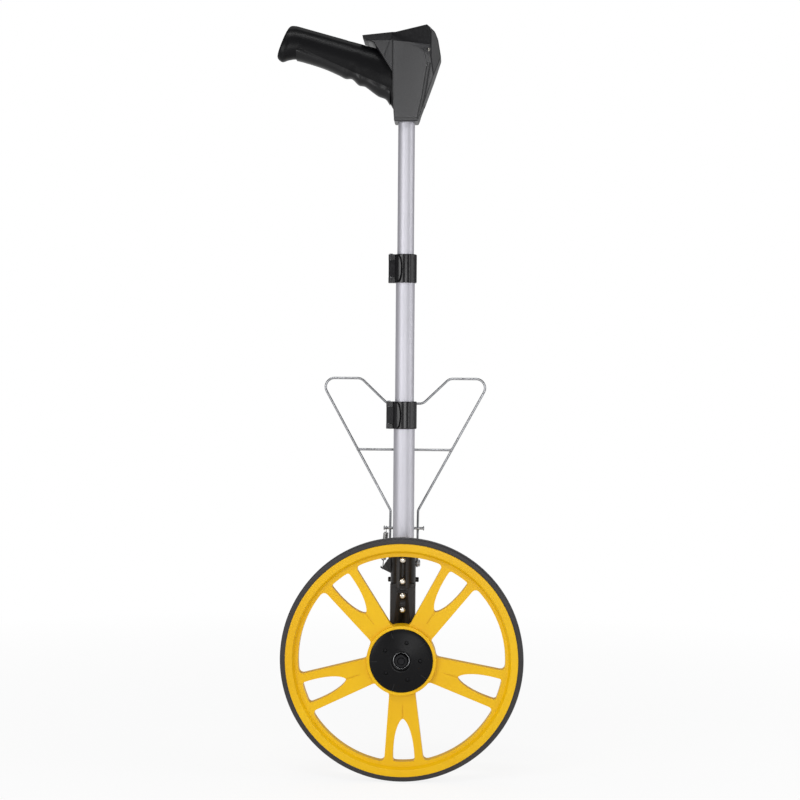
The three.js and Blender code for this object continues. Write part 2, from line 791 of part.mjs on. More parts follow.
const stand = {
  wire: standWire,
  legX: arm.half + pivot.eyeGap + standWire,
  planeY: 26,
  bendZ: 190.2,
  earTop: 367,
  earOuter: 115,
  earInner: 59,
  notchZ: 333.5,
  notchHalf: 24,
  bend: 12,
  barZ: 271.8,
  barOver: 1.5,
  pinZ: 167.3,
  pinRadius: 1.8,
  pinHalf: 27.2,
  pinHead: 3.2,
  pinHeadThick: 1.5,
  wireSides: 6,
};

// Where the stowed leg stands behind the tube at a height.
function legY(z) {
  const share = Math.min(1, Math.max(0, (z - pivot.z) / (stand.bendZ - pivot.z)));
  return pivot.y + (stand.planeY - pivot.y) * share;
}

function standFrame() {
  const eyeOuter = pivot.radius + fit + stand.wire * 2;
  const start = pivot.z + eyeOuter - stand.wire;
  const half = [
    [stand.legX, legY(start), start],
    [stand.legX, stand.planeY, stand.bendZ],
    [stand.earOuter, stand.planeY, stand.earTop],
    [stand.earInner, stand.planeY, stand.earTop],
    [stand.notchHalf, stand.planeY, stand.notchZ],
  ];
  const mirrored = half.map(([x, y, z]) => [-x, y, z]).reverse();
  const bent = wire([...half, ...mirrored], stand.wire, stand.bend, stand.wireSides, 4);
  const eyes = [-1, 1].map((side) => {
    const low = side * stand.legX - stand.wire;
    return cut(
      rod(eyeOuter, low, low + stand.wire * 2, "x", [pivot.y, pivot.z], smallSides),
      rod(pivot.radius + fit, low - overrun, low + overrun * 2, "x", [pivot.y, pivot.z], smallSides),
    );
  });
  return join(bent, ...eyes);
}

// Half of the width between the outer wires at a height.
function wireX(z) {
  const share = (z - stand.bendZ) / (stand.earTop - stand.bendZ);
  return stand.legX + (stand.earOuter - stand.legX) * share;
}

function standCrossBar() {
  const reach = wireX(stand.barZ) + stand.barOver;
  const y = stand.planeY - stand.wire * 2 - fit;
  return rod(stand.wire, -reach, reach, "x", [y, stand.barZ], stand.wireSides);
}

const pinY = legY(stand.pinZ) - stand.wire - fit - stand.pinRadius;

function standCrossPin() {
  const at = [pinY, stand.pinZ];
  const head = stand.pinHalf - stand.pinHeadThick;
  return join(
    rod(stand.pinRadius, -stand.pinHalf, stand.pinHalf, "x", at, stand.wireSides),
    rod(stand.pinHead, -stand.pinHalf, -head, "x", at, stand.wireSides),
    rod(stand.pinHead, head, stand.pinHalf, "x", at, stand.wireSides),
  );
}

function standPivotScrews() {
  const outer = stand.legX + stand.wire + fit;
  const inner = Math.sqrt(tube.lower.radius ** 2 - (pivot.y - pivot.radius) ** 2) + running;
  const at = [pivot.y, pivot.z];
  return [-1, 1].map((side) => {
    const span = (a, b) => [Math.min(side * a, side * b), Math.max(side * a, side * b)];
    return join(
      rod(pivot.radius, ...span(inner, outer + fit), "x", at, screwSides),
      rod(pivot.head, ...span(outer, outer + pivot.headThick), "x", at, smallSides),
    );
  });
}

// The pull spring from the cross pin to the hook, wound in one length of wire.
const spring = { wire: 0.5, coil: 3, curls: 19, tail: 2.4, steps: 8, sides: 4, x: -23.4, endShare: 3.4 };

function standSpring() {
  const top = new THREE.Vector3(spring.x, pinY, stand.pinZ);
  const bottom = new THREE.Vector3(hook.tipX + hook.nose, 0, hook.tipZ);
  const along = bottom.clone().sub(top).normalize();
  top.addScaledVector(along, stand.pinRadius + fit);
  bottom.addScaledVector(along, -fit - hook.dip);
  const side = new THREE.Vector3(1, 0, 0);
  side.addScaledVector(along, -side.dot(along)).normalize();
  const other = along.clone().cross(side);
  const length = top.distanceTo(bottom);
  const first = spring.tail;
  const last = length - spring.tail * spring.endShare;
  const places = [top.clone(), top.clone().addScaledVector(along, spring.wire * 2)];
  const count = spring.curls * spring.steps;
  for (let i = 0; i <= count; i += 1) {
    const angle = (i * turn) / spring.steps;
    const edge = Math.min(1, i / spring.steps, (count - i) / spring.steps);
    const place = top.clone().addScaledVector(along, first + ((last - first) * i) / count);
    place.addScaledVector(side, Math.cos(angle) * spring.coil * edge);
    place.addScaledVector(other, Math.sin(angle) * spring.coil * edge);
    places.push(place);
  }
  places.push(bottom.clone().addScaledVector(along, -spring.wire * 2), bottom);
  console.log(`spring: least gap ${leastGap(places).toFixed(2)} mm`);
  const stations = places.map((at, i) => {
    const before = places[Math.max(0, i - 1)];
    const after = places[Math.min(places.length - 1, i + 1)];
    return { at, along: after.clone().sub(before).normalize() };
  });
  return tubeAlong(stations, spring.wire, spring.sides);
}

// The least gap between stretches of the spring that are half a curl or more apart.
function leastGap(places) {
  let least = Infinity;
  for (let i = 0; i + 1 < places.length; i += 1) {
    const line = new THREE.Line3(places[i], places[i + 1]);
    for (let j = i + spring.steps / 2 + 1; j < places.length; j += 1) {
      const near = line.closestPointToPoint(places[j], true, new THREE.Vector3());
      least = Math.min(least, near.distanceTo(places[j]) - spring.wire * 2);
    }
  }
  return least;
}

// Cam clamps: a split collar with two knuckles, a lever that wraps round it and a pin

const clamp = {
  wall: 2.3,
  reach: 4.1,                 // hinge distance outside the collar
  hingeY: -3.4,
  knuckle: 3.5,
  barrel: 3.2,
  pin: 1.5,
  pinHead: 2.4,
  pinHeadThick: 0.8,
  leverHalf: 10.75,
  dHalf: 17.2,
  dStart: 12.6,
  dTip: 5.4,
  plate: 2.5,
  slit: 0.8,
  lugBack: 6,
  rib: 0.7,
  chamfer: 0.8,
};

const clamps = {
  upper: { low: 493.1, high: 530.9, big: tube.middle, small: tube.upper },
  lower: { low: 300.5, high: 336.7, big: tube.lower, small: tube.middle },
};

function clampCollar({ low, high, big, small }) {
  const outer = big.radius + clamp.wall;
  const hingeX = -outer - clamp.reach;
  const middle = (low + high) / 2;
  const window = clamp.leverHalf + running;
  const barrel = turned([
    [0, low],
    [outer - clamp.chamfer, low],
    [outer, low + clamp.chamfer],
    [outer, high - clamp.chamfer],
    [outer - clamp.chamfer, high],
    [0, high],
  ]);
  const ribs = [-1, 0, 1].map((step) => {
    const angle = -quarter * (1 - ribSpreadShare * (step + 2));
    const at = [Math.cos(angle) * (outer - clamp.rib), Math.sin(angle) * (outer - clamp.rib)];
    return rod(clamp.rib * 2, low + clamp.chamfer, high - clamp.chamfer, "z", at, screwSides);
  });
  const frontLug = block([hingeX, clamp.hingeY - clamp.knuckle, low], [-small.radius, 0, high]);
  const rearLug = slab(rounded([
    [hingeX - clamp.knuckle, clamp.slit],
    [-small.radius, clamp.slit],
    [-small.radius, clamp.lugBack],
    [hingeX - clamp.knuckle, clamp.lugBack],
  ], [0, 0, 0, clamp.knuckle]), low, high, "z");
  const knuckle = rod(clamp.knuckle, low, high, "z", [hingeX, clamp.hingeY], smallSides);
  const reach = outer + clamp.plate + running * 2;
  const leverSpace = join(
    rod(clamp.knuckle + running * 2, middle - window, middle + window, "z",
      [hingeX, clamp.hingeY], smallSides),
    cut(
      block([hingeX - clamp.knuckle * 2, -reach, middle - window], [-small.radius, 0, middle + window]),
      rod(outer, middle - window * 2, middle + window * 2),
    ),
  );
  const slit = block([-outer * 3, -clamp.slit, low - overrun], [0, clamp.slit, high + overrun]);
  const bores = [
    rod(big.radius + fit, low - overrun, big.top + fit),
    rod(small.radius + fit, low - overrun, high + overrun),
  ];
  const pinHole = rod(clamp.pin + fit, low - overrun, high + overrun, "z",
    [hingeX, clamp.hingeY], screwSides);
  return cut(join(barrel, ...ribs, frontLug, rearLug, knuckle), leverSpace, slit, ...bores, pinHole);
}
const ribSpreadShare = 0.28;

function clampLever({ low, high, big }) {
  const inner = big.radius + clamp.wall + clamp.rib + running;
  const outer = inner + clamp.plate;
  const hingeX = -big.radius - clamp.wall - clamp.reach;
  const middle = (low + high) / 2;
  const band = rod(outer, low, high);
  const link = slab([
    [hingeX - clamp.barrel, clamp.hingeY],
    [hingeX - clamp.barrel, clamp.hingeY - clamp.barrel],
    [-outer * linkShare, -outer * linkShare],
    [-inner * linkShare, -inner * linkShare],
    [hingeX + clamp.barrel, clamp.hingeY],
  ], middle - clamp.leverHalf, middle + clamp.leverHalf, "z");
  const dShape = slab([
    [-clamp.dStart, middle - clamp.dHalf],
    ...[-1, -1 / 2, 0, 1 / 2, 1].map((share) => {
      const angle = (share / 2) * leverSweepShare * turn;
      return [
        -clamp.dTip - clamp.plate * 2 + clamp.plate * 2 * Math.cos(angle),
        middle + clamp.dHalf * Math.sin(angle),
      ];
    }),
    [-clamp.dStart, middle + clamp.dHalf],
  ], -outer - overrun, 0, "y");
  const plate = common(band, dShape);
  const barrel = rod(clamp.barrel, middle - clamp.leverHalf, middle + clamp.leverHalf, "z",
    [hingeX, clamp.hingeY], smallSides);
  const inside = rod(inner, low - overrun, high + overrun);
  const behind = block([-inner, -clamp.slit - clamp.barrel, low], [outer, outer, high]);
  const hole = rod(clamp.pin + fit, low, high, "z", [hingeX, clamp.hingeY], screwSides);
  return cut(join(cut(join(plate, link), inside, behind), barrel), hole);
}
const linkShare = 0.71;
const leverSweepShare = 0.375;

function clampPin({ low, high, big }) {
  const at = [-big.radius - clamp.wall - clamp.reach, clamp.hingeY];
  return join(
    rod(clamp.pin, low, high + fit + clamp.pinHeadThick, "z", at, screwSides),
    rod(clamp.pinHead, high + fit, high + fit + clamp.pinHeadThick, "z", at, screwSides),
  );
}

// Handle: two half shells with the counter's head in front and the pistol grip behind

const head = {
  rear: -58.3,
  front: 45,
  base: handleFoot,
  height: handleHeight,
  planRear: 20,
  planMiddle: 33,
  planFront: 28.5,
  baseHalf: 19,
  wall: 2.6,
  bevel: 1.6,
  column: 14.2,
};
head.length = head.front - head.rear;
head.top = head.base + head.height;

// Side outline, as shares of the head's length and height.
const headSideShares = [
  [0.41, 0], [0.712, 0], [1, 0.677], [0.963, 0.852], [0.922, 0.932], [0.82, 1],
  [0.425, 0.916], [0, 0.903], [0.012, 0.862], [0.138, 0.83], [0.383, 0.516], [0.383, 0.33],
];
// The hollow stops short of the thin rear lip.
const hollowSideShares = [...headSideShares.slice(0, 7), [0.1, 0.906], ...headSideShares.slice(10)];
const seamXShare = 0.383;     // the upright edge between the rear wedge and the side
const slopeFootShares = [0.425, 0.916];
const slopeTopShares = [0.82, 1];
const lidLineShares = [[-0.2, 0.862], [0.37, 0.834], [0.825, 0.797], [0.87, 0.794]];
const coverLineShares = [[0.87, 0.787], [0.779, 0.745], [0.825, 0.602], [0.763, 0.281], [0.698, 0.024]];
const lidSeamShare = 0.87;

const headPoint = ([x, z]) => [head.rear + x * head.length, head.base + z * head.height];

// The head drawn in by a wall, from its side outline, plan and front taper.
function headSolid(wall) {
  const side = (wall > 0 ? hollowSideShares : headSideShares).map(headPoint);
  const far = head.planMiddle * 2;
  const seam = headPoint([seamXShare, 0])[0];
  const plan = [
    [head.rear - wall, -head.planRear],
    [seam, -head.planMiddle],
    [head.front + wall, -head.planFront],
    [head.front + wall, head.planFront],
    [seam, head.planMiddle],
    [head.rear - wall, head.planRear],
  ];
  const taper = [
    [-head.baseHalf, head.base - wall],
    [head.baseHalf, head.base - wall],
    [head.planMiddle, head.base + head.height * lidTopShare],
    [head.planMiddle, head.top + wall],
    [-head.planMiddle, head.top + wall],
    [-head.planMiddle, head.base + head.height * lidTopShare],
  ];
  const high = head.top + overrun;
  const bevel = wall > 0 ? 0 : head.bevel;
  return common(
    slab(inset(side, wall), -far, far, "y"),
    slab(rounded(inset(plan, wall), [bevel, bevel, bevel * 2, bevel * 2, bevel, bevel], 2),
      head.base - overrun, high, "z"),
    slab(inset(taper, wall), head.rear - overrun, head.front + overrun, "x"),
  );
}
const lidTopShare = 0.9;

// Grip outline: where each section's top and underside lie, as shares of the grip's
// length and rise, and its half width as a share of the widest.
const grip = {
  front: -8,
  length: 164.4,
  base: handleFoot,
  rise: 130,
  half: 17.5,
  round: 2.3,
  insert: 3,
  proud: 0.6,
  wall: 3,
};
grip.rear = grip.front - grip.length;

const gripShares = [
  [0.075, 0.895, 0.026, 0.712, 0.72],
  [0.106, 0.978, 0.004, 0.668, 0.9],
  [0.152, 0.987, 0.04, 0.624, 1],
  [0.207, 0.97, 0.093, 0.642, 0.97],
  [0.27, 0.948, 0.16, 0.65, 0.94],
  [0.367, 0.914, 0.27, 0.615, 0.95],
  [0.476, 0.875, 0.392, 0.564, 0.98],
  [0.585, 0.836, 0.501, 0.503, 1],
  [0.635, 0.818, 0.556, 0.468, 1],
  [0.685, 0.801, 0.61, 0.463, 1],
  [0.737, 0.782, 0.663, 0.402, 1],
  [0.79, 0.764, 0.716, 0.385, 1],
  [0.845, 0.744, 0.78, 0.325, 1],
  [0.89, 0.728, 0.825, 0.286, 0.99],
  [0.935, 0.712, 0.878, 0.26, 0.97],
  [0.97, 0.7, 0.906, 0.215, 0.94],
  [1, 0.69, 0.942, 0.138, 0.9],
];
const gripLineShares = [[0.16, 0.765], [0.875, 0.363]];
const gripLineEndShare = 0.915;

const gripPoint = (x, z) => [grip.rear + x * grip.length, grip.base + z * grip.rise];

// The grip drawn in by a wall, as rounded sections from its rear end into the head.
function gripSolid(wall, sides = 12) {
  const rings = gripShares.map(([topX, topZ, underX, underZ, width], station) => {
    const top = new THREE.Vector2(...gripPoint(topX, topZ));
    const under = new THREE.Vector2(...gripPoint(underX, underZ));
    const up = top.clone().sub(under);
    const half = up.length() / 2 - wall;
    const centre = top.add(under).multiplyScalar(1 / 2);
    up.normalize();
    if (station === 0) centre.add(new THREE.Vector2(up.y, -up.x).multiplyScalar(wall));
    const ring = [];
    for (let j = 0; j < sides; j += 1) {
      const angle = ((j + 1 / 2) * turn) / sides;
      const round = (value) => Math.sign(value) * Math.abs(value) ** (2 / grip.round);
      const rise = half * round(Math.cos(angle));
      const width2 = (grip.half * width - wall) * round(Math.sin(angle));
      ring.push([centre.x + up.x * rise, width2, centre.y + up.y * rise]);
    }
    return ring;
  });
  return skin(rings);
}

// Everything below the line where the soft insert starts, moved down by a gap.
function insertRegion(gap) {
  const [start, end] = gripLineShares.map(([x, z]) => gripPoint(x, z));
  const last = gripPoint(gripLineEndShare, 0);
  return slab([
    [start[0] + gap, start[1] - grip.rise],
    [last[0] - gap, end[1] - grip.rise / 2],
    [last[0] - gap, end[1] - (last[0] - end[0]) / 2 - gap],
    [end[0], end[1] - gap],
    [start[0] + gap, start[1] - gap],
  ], -head.planMiddle, head.planMiddle, "y");
}

function lidRegion(gap) {
  const line = lidLineShares.map(headPoint).map(([x, z]) => [x, z - gap]);
  const seam = headPoint([lidSeamShare, 0])[0] + gap;
  return slab([
    ...line.slice(0, -1),
    [seam, line[line.length - 1][1]],
    [seam, head.top + overrun * 2],
    [line[0][0], head.top + overrun * 2],
  ], -head.planMiddle * 2, head.planMiddle * 2, "y");
}

function coverRegion(gap) {
  const line = coverLineShares.map(headPoint).map(([x, z]) => [x - gap, z]);
  const right = head.front + overrun * 2;
  return slab([
    [line[0][0], head.top + overrun * 2],
    ...line,
    [right, line[line.length - 1][1] - gap],
    [right, head.top + overrun * 2],
  ], -head.planMiddle * 2, head.planMiddle * 2, "y");
}

const coverScrewShare = 0.738;
const boardShare = 0.754;
const shellScrew = { places: [[0.13, 0.86], [0.6, 0.66]], boss: 3.6, hole: 1.2, head: 2.6, sink: 2.4 };
const coverScrew = { x: 28.3, z: headPoint([0, coverScrewShare])[1], boss: 3.4, hole: 1.2, head: 2.7, sink: 1.6, reach: 23.5 };
const board = { z: headPoint([0, boardShare])[1], thick: 1.6, rear: -44, front: 14 };

// The half width of the head's front part at the cover screws.
const coverScrewHalf = head.planMiddle
  - ((head.planMiddle - head.planFront) * (coverScrew.x - headPoint([seamXShare, 0])[0]))
  / (head.front - headPoint([seamXShare, 0])[0]);

function handleBody() {
  const outside = join(
    cut(headSolid(0), coverRegion(fit / 2)),
    cut(gripSolid(0), insertRegion(0)),
    common(gripSolid(grip.insert + fit), insertRegion(-fit)),
  );
  const bosses = shellScrew.places.map(([x, z]) => rod(shellScrew.boss, -grip.half, grip.half, "y",
    gripPoint(x, z), smallSides));
  const inside = join(
    headSolid(head.wall),
    cut(gripSolid(grip.insert + grip.wall), ...bosses),
  );
  const column = cut(
    common(rod(head.column, head.base, tube.upper.top + overrun / 2), headSolid(0)),
    coverRegion(fit),
  );
  const ears = [-1, 1].map((side) => {
    const y = (value) => side * value;
    const span = (a, b) => [Math.min(y(a), y(b)), Math.max(y(a), y(b))];
    const [low, high] = span(coverScrew.reach, coverScrewHalf - head.wall - fit * 2);
    const [rootLow, rootHigh] = span(coverScrew.reach, coverScrewHalf);
    const left = headPoint([coverLineShares[1][0], 0])[0];
    return join(
      rod(coverScrew.boss, low, high, "y", [coverScrew.x, coverScrew.z], smallSides),
      block([left - coverScrew.boss * 2, low, coverScrew.z - coverScrew.boss],
        [coverScrew.x, high, coverScrew.z + coverScrew.boss]),
      block([left - coverScrew.boss * 2, rootLow, coverScrew.z - coverScrew.boss],
        [left - fit * 2, rootHigh, coverScrew.z + coverScrew.boss]),
    );
  });
  const ledge = cut(
    common(headSolid(head.wall / 2), block(
      [board.rear - overrun, -head.planMiddle, board.z - head.wall - fit],
      [board.front + overrun, head.planMiddle, board.z - fit],
    )),
    headSolid(head.wall * 2),
  );
  const shell = join(cut(outside, inside), column, ...ears, ledge);
  const bore = rod(tube.upper.radius + fit, head.base - overrun, tube.upper.top + fit);
  const screwHoles = [
    ...shellScrew.places.flatMap(([x, z]) => [
      rod(shellScrew.hole + fit, -grip.half / 2, grip.half * 2, "y", gripPoint(x, z), screwSides),
      rod(shellScrew.head + fit, grip.half - shellScrew.sink * 2, grip.half * 2, "y",
        gripPoint(x, z), smallSides),
    ]),
    rod(coverScrew.hole + fit, -head.planMiddle, head.planMiddle, "y",
      [coverScrew.x, coverScrew.z], screwSides),
  ];
  return cut(shell, lidRegion(fit), bore, ...screwHoles);
}

function handleShell(side) {
  const far = head.planMiddle * 2;
  const [low, high] = side > 0 ? [fit / 2, far] : [-far, -fit / 2];
  return common(handleBody(), block(
    [grip.rear - overrun, low, head.base - overrun],
    [head.front + overrun, high, head.top + overrun * 3],
  ));
}

function fingerGrip() {
  const outside = gripSolid(-grip.proud);
  return cut(common(outside, insertRegion(fit / 2)), gripSolid(grip.insert),
    headSolid(-fit));
}

function frontCover() {
  const skinOnly = cut(headSolid(0), headSolid(head.wall));
  const ear = rod(coverScrew.hole + fit, -head.planMiddle, head.planMiddle, "y",
    [coverScrew.x, coverScrew.z], screwSides);
  const sinks = [-1, 1].map((side) => {
    const inner = side * (coverScrewHalf - coverScrew.sink);
    const outer = side * (head.planMiddle + overrun);
    return rod(coverScrew.head + fit, Math.min(inner, outer), Math.max(inner, outer), "y",
      [coverScrew.x, coverScrew.z], smallSides);
  });
  return cut(common(skinOnly, coverRegion(-fit / 2)), lidRegion(fit / 2), ear, ...sinks);
}

function coverScrews() {
  return [-1, 1].map((side) => {
    const span = (a, b) => [Math.min(side * a, side * b), Math.max(side * a, side * b)];
    const seat = coverScrewHalf - coverScrew.sink + fit;
    const at = [coverScrew.x, coverScrew.z];
    return join(
      rod(coverScrew.hole, ...span(coverScrew.reach + fit, seat + fit), "y", at, screwSides),
      rod(coverScrew.head - fit, ...span(seat, seat + coverScrew.sink - fit), "y", at, screwSides),
    );
  });
}

function shellScrews() {
  return shellScrew.places.map(([x, z]) => {
    const at = gripPoint(x, z);
    const seat = grip.half - shellScrew.sink * 2 + fit;
    return join(
      rod(shellScrew.hole, -grip.half / 2 + fit, seat + fit, "y", at, screwSides),
      rod(shellScrew.head - fit, seat, seat + shellScrew.sink, "y", at, screwSides),
    );
  });
}

// The display slopes towards the user; its pieces are drawn flat and then tilted.
const display = { start: 5, end: 37, half: 21, lens: 1.6, ledge: 1.5, panel: 2.4, panelOver: 2 };

function onSlope(low, high) {
  const foot = headPoint(slopeFootShares);
  const top = headPoint(slopeTopShares);
  const angle = Math.atan2(top[1] - foot[1], top[0] - foot[0]);
  return block(low, high).rotate([0, (-angle * 180) / Math.PI, 0]).translate([foot[0], 0, foot[1]]);
}

const keys = { x: [-33.5, -20], y: [-10, 10], halfX: 5.2, halfY: 6, round: 1.8, rise: 1.2, flange: 0.8, travel: 1, postAhead: 1.3 };

function keyOutline(x, y, grow) {
  return rounded([
    [x - keys.halfX - grow, y - keys.halfY - grow],
    [x + keys.halfX + grow, y - keys.halfY - grow],
    [x + keys.halfX + grow, y + keys.halfY + grow],
    [x - keys.halfX - grow, y + keys.halfY + grow],
  ], keys.round, 2);
}

const keyTop = headPoint([0, headSideShares[7][1]])[1];

function topBezel() {
  const skinOnly = cut(headSolid(0), headSolid(head.wall));
  const lensSpace = onSlope(
    [display.start, -display.half, -display.lens - fit],
    [display.end, display.half, overrun],
  );
  const window = onSlope(
    [display.start + display.ledge, -display.half + display.ledge, -head.wall * 2],
    [display.end - display.ledge, display.half - display.ledge, overrun],
  );
  const holes = keys.x.flatMap((x) => keys.y.map((y) => slab(keyOutline(x, y, fit),
    keyTop - head.wall * 2, head.top, "z")));
  return cut(common(skinOnly, lidRegion(0)), coverRegion(fit / 2), lensSpace, window, ...holes,
    gripSolid(-fit));
}

function lcdLens() {
  return onSlope(
    [display.start + fit, -display.half + fit, -display.lens],
    [display.end - fit, display.half - fit, -fit / 2],
  );
}

function lcdPanel() {
  const top = -head.wall - fit;
  return onSlope(
    [display.start - display.panelOver / 2, -display.half - display.panelOver / 2, top - display.panel],
    [display.end - display.panelOver / 2, display.half + display.panelOver / 2, top],
  );
}

function keyPieces() {
  const under = keyTop - head.wall - fit;
  const foot = board.z + board.thick + keys.travel + fit;
  return keys.x.flatMap((x) => keys.y.map((y) => join(
    slab(keyOutline(x, y, 0), under - keys.rise, keyTop + keys.rise * 2, "z"),
    slab(keyOutline(x, y, keys.flange), under - keys.rise, under, "z"),
    rod(keys.round, foot, under - keys.rise / 2, "z", [x + keys.postAhead, y], screwSides),
  )));
}

function circuitBoard() {
  return common(headSolid(head.wall + fit), block(
    [board.rear, -head.planMiddle, board.z],
    [board.front, head.planMiddle, board.z + board.thick],
  ));
}

const cellShare = 0.528;
const cellPitch = 12;
const lowCell = headPoint([0, cellShare])[1];
const cell = { radius: 5.25, half: 22.25, x: [-1, cellPitch - 1], z: [lowCell, lowCell + cellPitch] };
const holder = { rear: -9, wall: 1.6, low: lowCell - cell.radius - 2 };

function batteryHolder() {
  const top = cell.z[1] + cell.radius + holder.wall + fit;
  const share = (holder.low - head.base) / (head.height * lidTopShare);
  const half = head.baseHalf + (head.planMiddle - head.baseHalf) * share - head.wall - fit * 2;
  const right = cell.x[1] + cell.radius;
  const spaces = cell.x.flatMap((x) => cell.z.map((z) => rod(cell.radius + fit, -cell.half - fit,
    cell.half + fit, "y", [x, z], smallSides)));
  return cut(
    block([holder.rear, -half, holder.low], [right, half, top]),
    ...spaces,
    block([cell.x[0], -cell.half - fit, cell.z[0]], [right + overrun, cell.half + fit, cell.z[1]]),
    block([cell.x[1], -cell.half - fit, cell.z[0] - cell.radius - fit],
      [right + overrun, cell.half + fit, cell.z[1] + cell.radius + fit]),
  );
}

function batteries() {
  return cell.x.flatMap((x) => cell.z.map((z) => rod(cell.radius, -cell.half, cell.half, "y",
    [x, z], smallSides)));
}

const gripCentre = gripPoint(0.44, 0.72);

function handlePieces() {
  const numbered = (name, solids, finish) => solids.map((solid, i) => piece(`${name}_${i + 1}`, solid, finish));
  return [
    piece("handle_shell_right", handleShell(-1), "black"),
    piece("handle_shell_left", handleShell(1), "black"),
    piece("finger_grip", fingerGrip(), "soft"),
    piece("top_bezel", topBezel(), "black"),
    piece("lcd_lens", lcdLens(), "glass"),
    piece("lcd_panel", lcdPanel(), "display"),
    piece("circuit_board", circuitBoard(), "board"),
    piece("front_cover", frontCover(), "black"),
    piece("battery_holder", batteryHolder(), "black"),
    ...numbered("key", keyPieces(), "key"),
    ...numbered("battery", batteries(), "cell"),
    ...numbered("cover_screw", coverScrews(), "nickel"),
    ...numbered("shell_screw", shellScrews(), "nickel"),
  ];
}

// Assembly

const tool = new THREE.Group();
tool.position.set(-gripCentre[0], 0, -gripCentre[1]);

const rolling = new THREE.Group();
rolling.position.set(0, wheel.planeY, 0);
rolling.rotation.x = quarter;
rolling.add(
  piece("tyre", wheelTyre(), "rubber"),
  piece("wheel_disc", wheelDisc(), "yellow"),
  piece("hub_cap", hubCap(), "black"),
  ...hubCapScrews().map((screw, i) => piece(`hub_cap_screw_${i + 1}`, screw, "nickel")),
  piece("hub_rear_cap", hubRearCap(), "black"),
  piece("magnet_ring", magnetRing(), "soft"),
  piece("bearing_front", ballBearing(fit), "steel"),
  piece("bearing_rear", ballBearing(hub.bossBack), "steel"),
  piece("bearing_spacer", bearingSpacer(), "steel"),
);

tool.add(
  rolling,
  piece("axle_bolt", axleBolt(), "steel"),
  piece("axle_nut", axleNut(), "nickel"),
  piece("arm_housing", armHousing(), "black"),
  piece("arm_cover", armCover(), "black"),
  ...armScrews().map((screw, i) => piece(`arm_screw_${i + 1}`, screw, "nickel")),
  piece("sensor_board", sensorBoard(), "board"),
  piece("lower_tube", lowerTube(), "aluminium"),
  piece("middle_tube", plainTube(tube.middle), "aluminium"),
  piece("upper_tube", plainTube(tube.upper), "aluminium"),
  piece("middle_tube_guide", tubeGuide(tube.middle), "soft"),
  piece("upper_tube_guide", tubeGuide(tube.upper), "soft"),
  piece("stand_frame", standFrame(), "steel"),
  piece("stand_cross_bar", standCrossBar(), "steel"),
  piece("stand_cross_pin", standCrossPin(), "steel"),
  ...standPivotScrews().map((screw, i) => piece(`stand_pivot_screw_${i + 1}`, screw, "nickel")),
  piece("stand_spring", standSpring(), "steel"),
);

for (const [name, values] of Object.entries(clamps)) {
  tool.add(
    piece(`${name}_clamp_collar`, clampCollar(values), "black"),
    piece(`${name}_clamp_lever`, clampLever(values), "black"),
    piece(`${name}_clamp_pin`, clampPin(values), "steel"),
  );
}

handlePieces().forEach((mesh) => tool.add(mesh));

const whole = new THREE.Group();
whole.add(tool);

export default whole;
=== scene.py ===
"""A folding measuring wheel: its looks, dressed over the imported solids.

Every size is in millimetres, measured from the middle of the axle, with +X forward and +Z up along the
tube. A shape turns to metres, and moves to the record's place, when it becomes a piece of the scene.
"""

from __future__ import annotations

import json
import logging
import math
from dataclasses import dataclass
from enum import Enum
from typing import Iterable, Optional, Sequence, Union

import bmesh
import bpy
from mathutils import Matrix, Vector


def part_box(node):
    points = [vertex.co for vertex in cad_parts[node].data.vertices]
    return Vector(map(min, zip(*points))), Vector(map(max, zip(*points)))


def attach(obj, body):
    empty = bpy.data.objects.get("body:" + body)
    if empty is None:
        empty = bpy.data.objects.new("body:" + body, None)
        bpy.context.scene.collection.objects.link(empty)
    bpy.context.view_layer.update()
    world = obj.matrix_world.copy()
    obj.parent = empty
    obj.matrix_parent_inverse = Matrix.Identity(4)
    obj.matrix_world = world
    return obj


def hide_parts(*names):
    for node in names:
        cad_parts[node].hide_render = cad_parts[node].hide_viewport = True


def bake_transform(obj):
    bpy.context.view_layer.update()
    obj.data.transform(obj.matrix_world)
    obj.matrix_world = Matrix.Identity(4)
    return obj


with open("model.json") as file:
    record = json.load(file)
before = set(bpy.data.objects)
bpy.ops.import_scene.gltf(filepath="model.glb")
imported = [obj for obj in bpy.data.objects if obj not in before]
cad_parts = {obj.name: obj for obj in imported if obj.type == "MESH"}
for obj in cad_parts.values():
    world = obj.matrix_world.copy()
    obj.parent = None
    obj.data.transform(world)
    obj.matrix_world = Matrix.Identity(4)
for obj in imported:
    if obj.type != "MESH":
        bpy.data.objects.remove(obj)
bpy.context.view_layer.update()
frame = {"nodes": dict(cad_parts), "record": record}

log = logging.getLogger("measuring_wheel")
Flat = Sequence[tuple[float, float]]
MM = 0.001
FIT = 0.3           # the gap that seated pieces keep
RUNNING = 0.5       # the gap round a piece that turns or slides
PAST = 5            # how far a cutting shape runs past what it cuts
FINE = 96           # flats round a tube, a collar or a socket
MEDIUM = 40         # flats round a bolt, a boss or an eye
COARSE = 24         # flats round a pin or a screw's hole
QUARTER = math.pi / 2
FULL_TURN = 2 * math.pi


class Axis(Enum):
    """The direction that a shape is drawn along, with the turn that brings +Z there."""

    X = Matrix(((0, 0, 1, 0), (1, 0, 0, 0), (0, 1, 0, 0), (0, 0, 0, 1)))
    Y = Matrix(((1, 0, 0, 0), (0, 0, 1, 0), (0, 1, 0, 0), (0, 0, 0, 1)))
    Z = Matrix.Identity(4)
    WHEEL = Matrix(((1, 0, 0, 0), (0, 0, -1, 0), (0, 1, 0, 0), (0, 0, 0, 1)))


class Work(Enum):
    """What is done with two shapes, with Blender's word for it."""

    JOIN = "UNION"
    CUT = "DIFFERENCE"
    COMMON = "INTERSECT"


